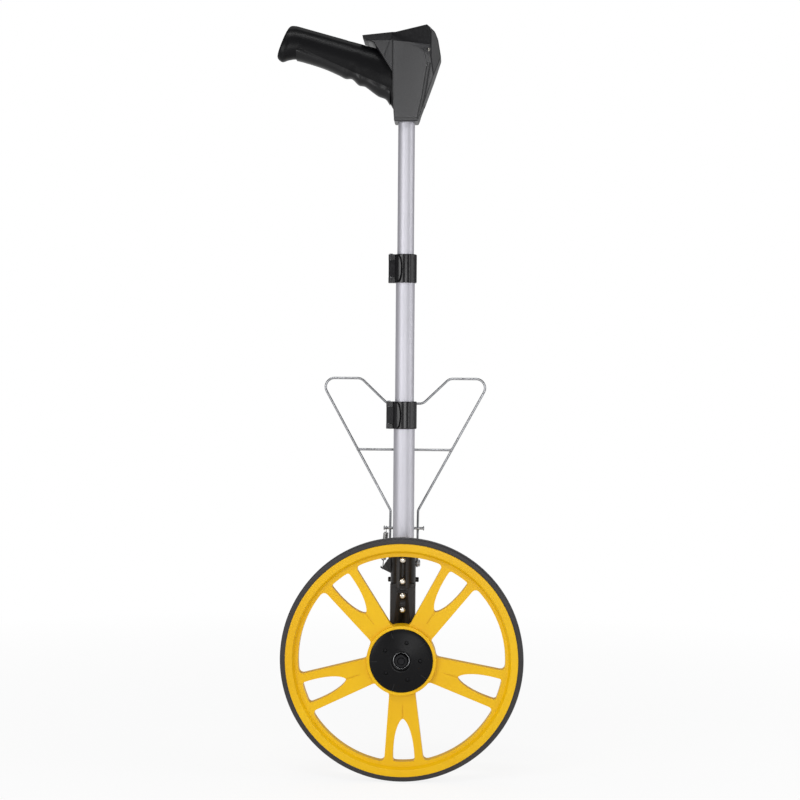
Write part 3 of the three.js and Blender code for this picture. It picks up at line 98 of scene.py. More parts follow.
def axle_place() -> Vector:
    """Where the middle of the axle is in the record's frame, in millimetres.

    Returns:
        The place.
    """
    low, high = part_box("axle_bolt")
    middle = (low + high) / (2 * MM)
    return Vector((middle.x, 0, middle.z))


AXLE = axle_place()


def placed(name: str, data: bpy.types.ID) -> bpy.types.Object:
    """A new object in the scene.

    Args:
        name: What it is called.
        data: Its mesh, lamp or camera.

    Returns:
        The object.
    """
    made = bpy.data.objects.new(name, data)
    bpy.context.scene.collection.objects.link(made)
    return made


class Shape:
    """A closed mesh being made, in millimetres from the axle."""

    def __init__(self, mesh: bmesh.types.BMesh) -> None:
        """Own a closed mesh, with its faces turned outwards."""
        bmesh.ops.recalc_face_normals(mesh, faces=mesh.faces)
        self.mesh = mesh

    @classmethod
    def skin(cls, rings: Sequence[Sequence[Sequence[float]]]) -> "Shape":
        """A skin over rings of points that all have the same count, closed with a face at both ends.

        Args:
            rings: The rings in order, each a list of points.

        Returns:
            The closed shape.
        """
        mesh = bmesh.new()
        rows = [[mesh.verts.new(point) for point in ring] for ring in rings]
        for first, second in zip(rows, rows[1:]):
            for i in range(len(first)):
                j = (i + 1) % len(first)
                mesh.faces.new((first[i], first[j], second[j], second[i]))
        mesh.faces.new(rows[0])
        mesh.faces.new(rows[-1])
        return cls(mesh)

    @classmethod
    def turned(cls, profile: Flat, sides: int = FINE, axis: Axis = Axis.Z,
               centre: Sequence[float] = (0, 0, 0), tipped: bool = True) -> "Shape":
        """A section turned round an axis.

        Args:
            profile: The section as (radius, place along the axis), solid where both ends have radius 0.
            sides: How many flats the round has.
            axis: The axis it turns round.
            centre: What the finished shape is moved by.
            tipped: Whether a solid end is a fan round its middle, or else one flat face.

        Returns:
            The closed shape.
        """
        solid = profile[0][0] == 0 and profile[-1][0] == 0
        points = profile[1:-1] if solid else profile
        mesh = bmesh.new()
        rows = []
        for i in range(sides):
            angle = i * FULL_TURN / sides
            rows.append([mesh.verts.new((r * math.cos(angle), r * math.sin(angle), along))
                         for r, along in points])
        tips = [mesh.verts.new((0, 0, profile[end][1])) for end in (0, -1)] if solid and tipped else []
        for first, second in zip(rows, rows[1:] + rows[:1]):
            for j in range(len(points) - solid):
                k = (j + 1) % len(points)
                mesh.faces.new((first[j], second[j], second[k], first[k]))
            for tip, end in zip(tips, (0, -1)):
                mesh.faces.new((tip, first[end], second[end]))
        if solid and not tipped:
            mesh.faces.new([row[0] for row in rows])
            mesh.faces.new([row[-1] for row in rows])
        return cls(mesh).laid(axis, centre)

    @classmethod
    def rod(cls, radius: float, low: float, high: float, axis: Axis = Axis.Z,
            centre: Sequence[float] = (0, 0, 0), sides: int = 48, edge: float = 0) -> "Shape":
        """A round bar with its ends eased.

        Args:
            radius: Its radius.
            low: Where it starts along the axis.
            high: Where it ends.
            axis: Its direction.
            centre: What the finished shape is moved by.
            sides: How many flats the round has.
            edge: How far its end edges are eased.

        Returns:
            The closed shape.
        """
        if edge:
            side = [(radius - edge, low), (radius, low + edge), (radius, high - edge), (radius - edge, high)]
        else:
            side = [(radius, low), (radius, high)]
        return cls.turned([(0, low), *side, (0, high)], sides, axis, centre, tipped=False)

    @classmethod
    def slab(cls, outline: Flat, low: float, high: float, axis: Axis = Axis.Z) -> "Shape":
        """A closed outline, as (x, y), (x, z) or (y, z), drawn out along the axis across it."""
        return cls.skin([[(x, y, low) for x, y in outline], [(x, y, high) for x, y in outline]]).laid(axis)

    @classmethod
    def block(cls, low: Sequence[float], high: Sequence[float]) -> "Shape":
        """A rectangular block between its lowest and its highest corner."""
        return cls.slab(oblong(low[0], low[1], high[0], high[1]), low[2], high[2])

    @classmethod
    def swept(cls, path: Sequence[Vector], radius: float, sides: int = 16) -> "Shape":
        """A round wire along a path, with flat ends.

        Args:
            path: The points in the middle of the wire.
            radius: The wire's radius.
            sides: How many flats the wire has round it.

        Returns:
            The closed shape.
        """
        rings = []
        side: Optional[Vector] = None
        for i, place in enumerate(path):
            along = (path[min(i + 1, len(path) - 1)] - path[max(i - 1, 0)]).normalized()
            if side is None:
                side = along.orthogonal()
            side = (side - along * side.dot(along)).normalized()
            other = along.cross(side)
            rings.append([place + side * (radius * math.cos(k * FULL_TURN / sides))
                          + other * (radius * math.sin(k * FULL_TURN / sides)) for k in range(sides)])
        return cls.skin(rings)

    def laid(self, axis: Axis, centre: Sequence[float] = (0, 0, 0)) -> "Shape":
        """This shape, turned from +Z to an axis and moved."""
        return self.moved(Matrix.Translation(Vector(centre)) @ axis.value)

    def moved(self, matrix: Matrix) -> "Shape":
        """This shape, after a matrix has moved, turned or mirrored it.

        Args:
            matrix: What its points are multiplied by.

        Returns:
            This shape.
        """
        self.mesh.transform(matrix)
        bmesh.ops.recalc_face_normals(self.mesh, faces=self.mesh.faces)
        return self

    def copy(self) -> "Shape":
        """Another shape like this one."""
        return Shape(self.mesh.copy())

    @classmethod
    def gathered(cls, shapes: Sequence["Shape"]) -> "Shape":
        """Several shapes that don't touch, as one.

        Args:
            shapes: The shapes, which are used up.

        Returns:
            The one shape.
        """
        mesh = bmesh.new()
        data = bpy.data.meshes.new("gathered")
        for shape in shapes:
            shape.mesh.to_mesh(data)
            shape.mesh.free()
            mesh.from_mesh(data)
        bpy.data.meshes.remove(data)
        return cls(mesh)

    def loose(self) -> bpy.types.Object:
        """This shape as an object that no modifier has changed yet.

        Returns:
            The object.
        """
        data = bpy.data.meshes.new("blank")
        self.mesh.to_mesh(data)
        return placed("blank", data)

    def worked(self, work: Work, tools: Iterable["Shape"]) -> "Shape":
        """Join other shapes to this one, or cut them from it, or keep what they share.

        Args:
            work: What is done.
            tools: The other shapes.

        Returns:
            The new shape.
        """
        blank = self.loose()
        others = [tool.loose() for tool in tools]
        for other in others:
            step = blank.modifiers.new(work.name, "BOOLEAN")
            step.operation = work.value
            step.solver = "EXACT"
            step.object = other
        return Shape.taken(blank, others)

    @classmethod
    def taken(cls, blank: bpy.types.Object, others: Iterable[bpy.types.Object] = ()) -> "Shape":
        """The shape that an object has after its modifiers; the object is then removed.

        Args:
            blank: The object.
            others: Objects that its modifiers used, removed too.

        Returns:
            The new shape.
        """
        bpy.context.view_layer.update()
        graph = bpy.context.evaluated_depsgraph_get()
        mesh = bmesh.new()
        mesh.from_mesh(blank.evaluated_get(graph).to_mesh())
        for used in [blank, *others]:
            data = used.data
            bpy.data.objects.remove(used)
            bpy.data.meshes.remove(data)
        return cls(mesh)

    def join(self, *others: "Shape") -> "Shape":
        """This shape and the others as one."""
        return self.worked(Work.JOIN, others)

    def cut(self, *others: "Shape") -> "Shape":
        """This shape without the others."""
        return self.worked(Work.CUT, others)

    def common(self, *others: "Shape") -> "Shape":
        """What this shape shares with all the others."""
        return self.worked(Work.COMMON, others)

    def eased(self, width: float, steps: int = 2, angle: float = 32) -> "Shape":
        """Round the edges that are sharper than an angle.

        Args:
            width: How wide the rounding is.
            steps: How many facets it has.
            angle: The least angle of an edge that is rounded, in degrees.

        Returns:
            The new shape.
        """
        bmesh.ops.remove_doubles(self.mesh, verts=self.mesh.verts, dist=0.01)
        bmesh.ops.dissolve_limit(self.mesh, angle_limit=math.radians(1), verts=self.mesh.verts,
                                 edges=self.mesh.edges)
        blank = self.loose()
        step = blank.modifiers.new("edges", "BEVEL")
        step.width = width
        step.segments = steps
        step.limit_method = "ANGLE"
        step.angle_limit = math.radians(angle)
        step.miter_outer = "MITER_ARC"
        step.use_clamp_overlap = True
        return Shape.taken(blank)

    def piece(self, name: str, body: str, finish: "Finish", nodes: Sequence[str] = (),
              slot: str = "", smooth: float = 40) -> bpy.types.Object:
        """Make this shape a piece of the scene that rides on a body.

        Args:
            name: The piece's name.
            body: The body it moves with, or nothing where it is blended between two.
            finish: What it is made of.
            nodes: The solids that it stands for.
            slot: The record's material slot, when no solid names it; it is not used.
            smooth: The angle under which faces shade into each other, in degrees.

        Returns:
            The piece, in metres in the record's frame.
        """
        mesh = self.mesh
        mesh.transform(Matrix.Scale(MM, 4) @ Matrix.Translation(AXLE))
        bmesh.ops.recalc_face_normals(mesh, faces=mesh.faces)
        bmesh.ops.remove_doubles(mesh, verts=mesh.verts, dist=2e-6)
        gaps = sum(len(edge.link_faces) < 2 for edge in mesh.edges)
        if gaps:
            log.warning("%s has %d open edges", name, gaps)
        data = bpy.data.meshes.new(name)
        mesh.to_mesh(data)
        mesh.free()
        data.polygons.foreach_set("use_smooth", [True] * len(data.polygons))
        data.set_sharp_from_angle(angle=math.radians(smooth))
        data.materials.append(finish.material())
        made = placed(name, data)
        made.modifiers.new("normals", "WEIGHTED_NORMAL").keep_sharp = True
        if body:
            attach(made, body)
        if nodes:
            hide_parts(*nodes)
        log.info("%s rides on %s with %d faces", name, body or "two bodies", len(data.polygons))
        return made


def slot_of(node: str) -> str:
    """The record's material slot of a solid."""
    return next(row["material_slot"] for row in frame["record"]["subparts"] if row["node"] == node)


def body_of(node: str) -> str:
    """The body that a solid belongs to."""
    bodies = frame["record"]["behaviour"]["bodies"]
    return next(name for name, nodes in bodies.items() if node in nodes)


def refined(node: str, finish: "Finish", width: float = 0.25) -> None:
    """Copy a solid whose form is right, ease its edges, and let the copy stand for it.

    Args:
        node: The solid's name.
        finish: What it is made of.
        width: How wide its edges are rounded.
    """
    mesh = bmesh.new()
    mesh.from_mesh(frame["nodes"][node].data)
    mesh.transform(Matrix.Translation(-AXLE) @ Matrix.Scale(1 / MM, 4))
    bmesh.ops.remove_doubles(mesh, verts=mesh.verts, dist=0.001)
    Shape(mesh).eased(width).piece(f"{node}_dressed", body_of(node), finish, [node])


def rounded(points: Flat, radii: Sequence[float], steps: int = 6) -> list[tuple[float, float]]:
    """An outline with its corners rounded.

    Args:
        points: The corners.
        radii: The radius at each corner, 0 where it stays sharp.
        steps: How many facets a corner has.

    Returns:
        The new outline.
    """
    outline: list[tuple[float, float]] = []
    for i, radius in enumerate(radii):
        corner = Vector(points[i])
        if radius <= 0:
            outline.append(tuple(corner))
            continue
        back = (Vector(points[i - 1]) - corner).normalized()
        ahead = (Vector(points[(i + 1) % len(points)]) - corner).normalized()
        half = back.angle(ahead) / 2
        reach = radius / math.tan(half)
        centre = corner + (back + ahead).normalized() * (radius / math.sin(half))
        first = corner + back * reach - centre
        sweep = first.angle_signed(corner + ahead * reach - centre)
        for k in range(steps + 1):
            turned = first.copy()
            turned.rotate(Matrix.Rotation(-sweep * k / steps, 2))
            outline.append(tuple(centre + turned))
    return outline


def oblong(left: float, low: float, right: float, high: float) -> list[tuple[float, float]]:
    """The four corners of a rectangle, from its lowest left one round."""
    return [(left, low), (right, low), (right, high), (left, high)]


def drawn_in(points: Flat, distance: float) -> list[tuple[float, float]]:
    """An outline whose edges are all moved inwards.

    Args:
        points: The corners, in either direction round.
        distance: How far the edges move, outwards where it is negative.

    Returns:
        The new corners.
    """
    corners = [Vector(point) for point in points]
    pairs = list(zip(corners, corners[1:] + corners[:1]))
    inwards = 1 if sum(a.x * b.y - b.x * a.y for a, b in pairs) > 0 else -1
    edges = []
    for first, last in pairs:
        along = (last - first).normalized()
        edges.append((first + Vector((-along.y, along.x)) * distance * inwards, along))
    moved = []
    for i, (place, after) in enumerate(edges):
        start, before = edges[i - 1]
        gap = place - start
        reach = (gap.x * after.y - gap.y * after.x) / (before.x * after.y - before.y * after.x)
        moved.append(tuple(start + before * reach))
    return moved


def smoothed(rows: Sequence[Sequence[float]], steps: int) -> list[list[float]]:
    """Rows of numbers with smooth steps between them.

    Args:
        rows: The rows that the result passes through.
        steps: How many rows each gap is divided into.

    Returns:
        All the rows.
    """
    result = []
    for i in range(len(rows) - 1):
        four = [rows[max(i - 1, 0)], rows[i], rows[i + 1], rows[min(i + 2, len(rows) - 1)]]
        for k in range(steps):
            t = k / steps
            result.append([0.5 * (2 * b + (c - a) * t + (2 * a - 5 * b + 4 * c - d) * t ** 2
                                  + (3 * b - a - 3 * c + d) * t ** 3) for a, b, c, d in zip(*four)])
    return result + [list(rows[-1])]


def bent(points: Sequence[Vector], radii: Sequence[float], steps: int) -> list[Vector]:
    """A path through corners in space, with each corner bent to a radius.

    Args:
        points: The corners.
        radii: The bend at each corner, 0 at the ends.
        steps: How many steps a bend has.

    Returns:
        The points of the path.
    """
    path = []
    for i, radius in enumerate(radii):
        corner = points[i]
        if radius <= 0:
            path.append(corner.copy())
            continue
        back, ahead = (points[i - 1] - corner).normalized(), (points[i + 1] - corner).normalized()
        half = back.angle(ahead) / 2
        reach = radius / math.tan(half)
        centre = corner + (back + ahead).normalized() * (radius / math.sin(half))
        first = corner + back * reach - centre
        swing = first.rotation_difference(corner + ahead * reach - centre)
        for k in range(steps + 1):
            arm = first.copy()
            arm.rotate(Matrix.Rotation(swing.angle * k / steps, 3, swing.axis))
            path.append(centre + arm)
    return path


def cross_recess(across: float, wide: float, low: float, high: float, axis: Axis) -> list[Shape]:
    """The two bars, given by half their length and width, that cut a cross into a screw's head."""
    halves = ((across, wide), (wide, across))
    return [Shape.slab(oblong(-a, -b, a, b), low, high, axis) for a, b in halves]


def linear(colour: str) -> tuple[float, float, float, float]:
    """Turn an sRGB hex colour to linear light.

    Args:
        colour: Six hex digits with a leading sharp.

    Returns:
        The colour as red, green, blue and 1.
    """
    parts = [int(colour[i:i + 2], 16) / 255 for i in (1, 3, 5)]
    bright = [p / 12.92 if p <= 0.04045 else ((p + 0.055) / 1.055) ** 2.4 for p in parts]
    return (bright[0], bright[1], bright[2], 1.0)


def blank_tree(owner: Union[bpy.types.Material, bpy.types.World]) -> bpy.types.NodeTree:
    """The nodes of a material or world, with none in them yet.

    Args:
        owner: The material or world.

    Returns:
        Its nodes.
    """
    owner.use_nodes = True
    owner.node_tree.nodes.clear()
    return owner.node_tree


def add_node(tree: bpy.types.NodeTree, kind: str, inputs: Optional[dict[Union[int, str], object]] = None,
             **settings: object) -> bpy.types.Node:
    """Add a node with its settings, values and links.

    Args:
        tree: Where it is added.
        kind: Its type, without the ShaderNode that all of them start with.
        inputs: By input, the output of another node that is linked to it, or its plain value.
        **settings: The node's own properties.

    Returns:
        The new node.
    """
    node = tree.nodes.new(f"ShaderNode{kind}")
    for name, value in settings.items():
        setattr(node, name, value)
    for name, value in (inputs or {}).items():
        if isinstance(value, bpy.types.NodeSocket):
            tree.links.new(value, node.inputs[name])
        else:
            node.inputs[name].default_value = value
    return node


@dataclass(frozen=True)
class Finish:
    """What a surface is made of and how it was made.

    Attributes:
        title: The material's common name and how it was worked.
        colour: Its colour, as sRGB hex.
        shade: A second colour that it drifts towards, as sRGB hex.
        drift_mm: How large a patch of that drift is.
        grain_mm: The spacing of its fine texture.
        stretch: How many times longer than wide the grain is, along Z.
        depth_mm: How deep the grain is.
        rough: Its roughness.
        rough_drift: How much the roughness changes with the grain.
        metallic: 1 for bare metal, 0 otherwise.
        coat: How much clear gloss lies over it.
        coat_rough: The roughness of that gloss.
        sheen: How much soft light its edges catch.
        sheen_rough: The roughness of that soft light.
        ior: Its index of refraction, left alone for metals.
        specular: How strongly it mirrors, 0.5 being what its index of refraction gives.
        clear: 1 where light goes through it.
        edge_highlight: How much lighter its convex edges are drawn: a painted highlight.
        edge_highlight_colour: What that painted highlight lightens them towards, as sRGB hex.
    """

    title: str
    colour: str
    shade: str
    drift_mm: float = 60
    grain_mm: float = 0.8
    stretch: float = 1
    depth_mm: float = 0.02
    rough: float = 0.5
    rough_drift: float = 0.1
    metallic: float = 0
    coat: float = 0
    coat_rough: float = 0.15
    sheen: float = 0
    sheen_rough: float = 0.5
    ior: float = 1.5
    specular: float = 0.5
    clear: float = 0
    edge_highlight: float = 0
    edge_highlight_colour: str = "#8E8E90"

    def material(self) -> bpy.types.Material:
        """The material, made once and then shared.

        Returns:
            The material with its nodes.
        """
        known = bpy.data.materials.get(self.title)
        if known:
            return known
        made = bpy.data.materials.new(self.title)
        tree = blank_tree(made)
        uniform = {"Metallic": self.metallic, "Coat Weight": self.coat, "Coat Roughness": self.coat_rough,
                   "Sheen Weight": self.sheen, "Sheen Roughness": self.sheen_rough,
                   "Transmission Weight": self.clear, "Specular IOR Level": self.specular}
        if not self.metallic:
            uniform["IOR"] = self.ior
        skin = add_node(tree, "BsdfPrincipled", uniform | self.drawn(tree))
        add_node(tree, "OutputMaterial", {"Surface": skin.outputs["BSDF"]})
        made.diffuse_color = linear(self.colour)
        return made

    def drawn(self, tree: bpy.types.NodeTree) -> dict[str, bpy.types.NodeSocket]:
        """What changes over the surface: its colour, its roughness and its fine relief.

        Args:
            tree: The material's nodes.

        Returns:
            The outputs, by the shader's input that each goes to.
        """
        place = add_node(tree, "TexCoord").outputs["Object"]
        drawn_out = add_node(tree, "Mapping", {"Vector": place, "Scale": (1, 1, 1 / self.stretch)})
        patches = add_node(tree, "TexNoise", {"Vector": place, "Scale": 1 / (self.drift_mm * MM),
                                              "Detail": 3.0}).outputs["Fac"]
        grain = add_node(tree, "TexNoise", {"Vector": drawn_out.outputs["Vector"], "Detail": 2.0,
                                            "Scale": 1 / (self.grain_mm * MM)}).outputs["Fac"]
        share = add_node(tree, "MapRange", {"Value": patches, "From Min": 0.35,
                                            "From Max": 0.65}).outputs["Result"]
        colour = add_node(tree, "Mix", {"Factor": share, 6: linear(self.colour), 7: linear(self.shade)},
                          data_type="RGBA").outputs[2]
        rough = add_node(tree, "MapRange", {
            "Value": grain, "To Min": max(0.02, self.rough - self.rough_drift / 2),
            "To Max": min(1.0, self.rough + self.rough_drift / 2)}).outputs["Result"]
        relief = add_node(tree, "Bump", {"Height": grain, "Strength": 0.6,
                                         "Distance": self.depth_mm * MM}).outputs["Normal"]
        # Convex edges get a painted highlight where the finish sets one.
        return {"Base Color": self.painted_edge_highlight(tree, grain, colour) if self.edge_highlight else colour, "Roughness": rough,
                "Normal": relief}

    def painted_edge_highlight(self, tree: bpy.types.NodeTree, grain: bpy.types.NodeSocket,
             colour: bpy.types.NodeSocket) -> bpy.types.NodeSocket:
        """Paint a highlight on the convex edges, a little lighter than the rest.

        Args:
            tree: The material's nodes.
            grain: The fine texture, which breaks the painted highlight up.
            colour: The colour without the painted highlight.

        Returns:
            The colour with its painted edge highlight.
        """
        # Pointiness lifts the convex edges towards a grey, broken up by the grain: a painted highlight.
        edge = add_node(tree, "NewGeometry").outputs["Pointiness"]
        edge_lit = add_node(tree, "MapRange", {"Value": edge, "From Min": 0.52, "From Max": 0.58,
                                             "To Max": self.edge_highlight}).outputs["Result"]
        broken_highlight = add_node(tree, "Math", {0: edge_lit, 1: grain}, operation="MULTIPLY").outputs[0]
        return add_node(tree, "Mix", {"Factor": broken_highlight, 6: colour, 7: linear(self.edge_highlight_colour)},
                        data_type="RGBA").outputs[2]


# Injection-moulded ABS, coloured through and semi-gloss: broad soft highlights, a little warmer in its folds.
YELLOW_ABS = Finish("yellow_abs_moulded_semi_gloss", "#E0B108", "#DBA806", drift_mm=90, grain_mm=1.2,
                    depth_mm=0.02, rough=0.36, rough_drift=0.08, ior=1.53, specular=0.22)
# Black ABS from a spark-eroded mould: a fine matt pebble that spreads each highlight grey.
# Its edge setting paints a grey highlight on the convex edges.
BLACK_ABS = Finish("black_abs_spark_textured", "#0F0F12", "#131316", grain_mm=1.1, depth_mm=0.04,
                   rough=0.3, rough_drift=0.06, ior=1.53, specular=0.38, edge_highlight=0.2)
# The same resin where the mould is smooth, for the lid and the grip: a deep black with a low sheen. Its
# colour and reflection are darker than the head's black, a painted shade that makes grip, lid and cap read
# darker; the smoother skin is real, and its edge setting paints a faint highlight on convex edges.
SMOOTH_SHADED_BLACK_ABS = Finish("black_abs_smooth_mould_painted_shade", "#08080A", "#0B0B0D", grain_mm=3, depth_mm=0.006,
                          rough=0.33, rough_drift=0.05, ior=1.53, specular=0.13, edge_highlight=0.1)
# The same resin from a polished mould, for the clamps and the hub's cap: sharper highlights.
# Its edge setting paints a faint grey highlight on the convex edges.
GLOSS_BLACK_ABS = Finish("black_abs_polished_mould", "#08070A", "#0C0A0D", grain_mm=4, depth_mm=0.004,
                         rough=0.2, rough_drift=0.03, ior=1.53, specular=0.3, edge_highlight=0.1)
# Thermoplastic elastomer moulded over the grip: soft, dull and catching light at its edges.
SOFT_GRIP = Finish("thermoplastic_elastomer_overmoulded", "#09090B", "#0D0D0F", grain_mm=0.9, depth_mm=0.04,
                   rough=0.3, rough_drift=0.05, sheen=0.02, sheen_rough=0.4, ior=1.5, specular=0.3)
# Vulcanised rubber: nearly matt, a warm black with the dust that a tyre holds.
TYRE_RUBBER = Finish("styrene_rubber_vulcanised", "#1B181A", "#242022", drift_mm=35, grain_mm=1.4,
                     depth_mm=0.06, rough=0.5, rough_drift=0.12, sheen=0.08, ior=1.52, specular=0.5)
# Drawn aluminium tube, satin anodised: faint lines along it that stretch the highlight round the tube.
ANODISED_TUBE = Finish("aluminium_tube_satin_anodised", "#CBCAD1", "#C6C5CC", drift_mm=120, grain_mm=0.7,
                       stretch=60, depth_mm=0.003, rough=0.56, rough_drift=0.04, metallic=1)
# Hard-drawn steel wire, bright zinc plated: cool grey with small cloudy patches.
ZINC_WIRE = Finish("steel_wire_bright_zinc", "#A2A3A6", "#8E8F92", drift_mm=45, grain_mm=2.5,
                   depth_mm=0.004, rough=0.34, rough_drift=0.06, metallic=1)
# Spring steel wire, oiled: darker and smoother than the plated wire.
SPRING_WIRE = Finish("spring_steel_wire_drawn", "#8D8C8B", "#7F7E7C", drift_mm=8, grain_mm=0.5,
                     depth_mm=0.01, rough=0.28, rough_drift=0.1, metallic=1)
# Machine screws in bright nickel: small warm sparks on the black plastic.
NICKEL = Finish("steel_screws_bright_nickel", "#D9D5CD", "#CFCBC2", drift_mm=6, grain_mm=0.6,
                depth_mm=0.008, rough=0.22, rough_drift=0.08, metallic=1)
# Glass-filled nylon, moulded: a warm black with a soft streak of light down the round socket.
# Its edge setting paints a grey highlight on the convex edges.
ARM_NYLON = Finish("glass_filled_nylon_black_moulded", "#0F0B0A", "#15100E", drift_mm=30, grain_mm=0.9,
                   depth_mm=0.012, rough=0.36, rough_drift=0.08, ior=1.53, specular=0.3, edge_highlight=0.15)
# Fasteners blackened by hot oxide: a thin satin skin over the steel, with small glints at its edges.
BLACK_OXIDE = Finish("steel_fasteners_black_oxide", "#1F1F21", "#19191B", drift_mm=5, grain_mm=0.6,
                     depth_mm=0.01, rough=0.3, rough_drift=0.1, metallic=0.8)
# Ground bearing steel: a fine mirror.
BEARING_STEEL = Finish("bearing_steel_ground", "#B9BABC", "#ADAEB0", drift_mm=10, grain_mm=0.4,
                       depth_mm=0.004, rough=0.2, rough_drift=0.06, metallic=1)
# Glass-fibre laminate under green solder mask: glossy, with the weave just showing through.
CIRCUIT_LAMINATE = Finish("glass_fibre_laminate_solder_mask", "#1D5A36", "#17492C", drift_mm=5, grain_mm=1.2,
                          depth_mm=0.01, rough=0.34, rough_drift=0.08, coat=0.3, ior=1.55)
# Cast acrylic window: clear, polished and very slightly smoky.
ACRYLIC = Finish("acrylic_window_polished", "#E7ECEE", "#DFE5E8", drift_mm=60, grain_mm=6,
                 depth_mm=0.001, rough=0.05, rough_drift=0.02, ior=1.49, clear=0.9)
# Reflective liquid crystal panel: a grey-green film with a faint metallic depth.
CRYSTAL_PANEL = Finish("liquid_crystal_panel_reflective", "#97A38F", "#8D9A86", drift_mm=40, grain_mm=0.6,
                       depth_mm=0.002, rough=0.35, rough_drift=0.06, coat=0.3)
# Silicone rubber keys, moulded: dull mid grey, softer at the rim.
SILICONE_KEY = Finish("silicone_rubber_keys_moulded", "#8B8D91", "#838589", drift_mm=9, grain_mm=0.7,
                      depth_mm=0.02, rough=0.6, rough_drift=0.1, sheen=0.2, ior=1.43)
# Steel cells in a shrunk vinyl sleeve: smooth blue with a soft gloss.
CELL_SLEEVE = Finish("vinyl_shrink_sleeve", "#3A5F8A", "#35577F", drift_mm=18, grain_mm=1.5,
                     depth_mm=0.005, rough=0.36, rough_drift=0.06, coat=0.25)


@dataclass(frozen=True)
class Lamp:
    """One soft white light of the studio.

    Attributes:
        name: What it is called.
        place: Where it hangs, in metres.
        size: Its width and height, in metres.
        power: Its power in watts.
    """

    name: str
    place: tuple[float, float, float]
    size: tuple[float, float]
    power: float

    def hang(self, aim: Sequence[float]) -> None:
        """Put the light in the scene.

        Args:
            aim: The point that it faces.
        """
        data = bpy.data.lights.new(self.name, "AREA")
        data.shape = "RECTANGLE"
        data.size, data.size_y = self.size
        data.energy = self.power
        lamp = placed(self.name, data)
        lamp.location = self.place
        lamp.rotation_euler = (Vector(aim) - Vector(self.place)).to_track_quat("-Z", "Y").to_euler()


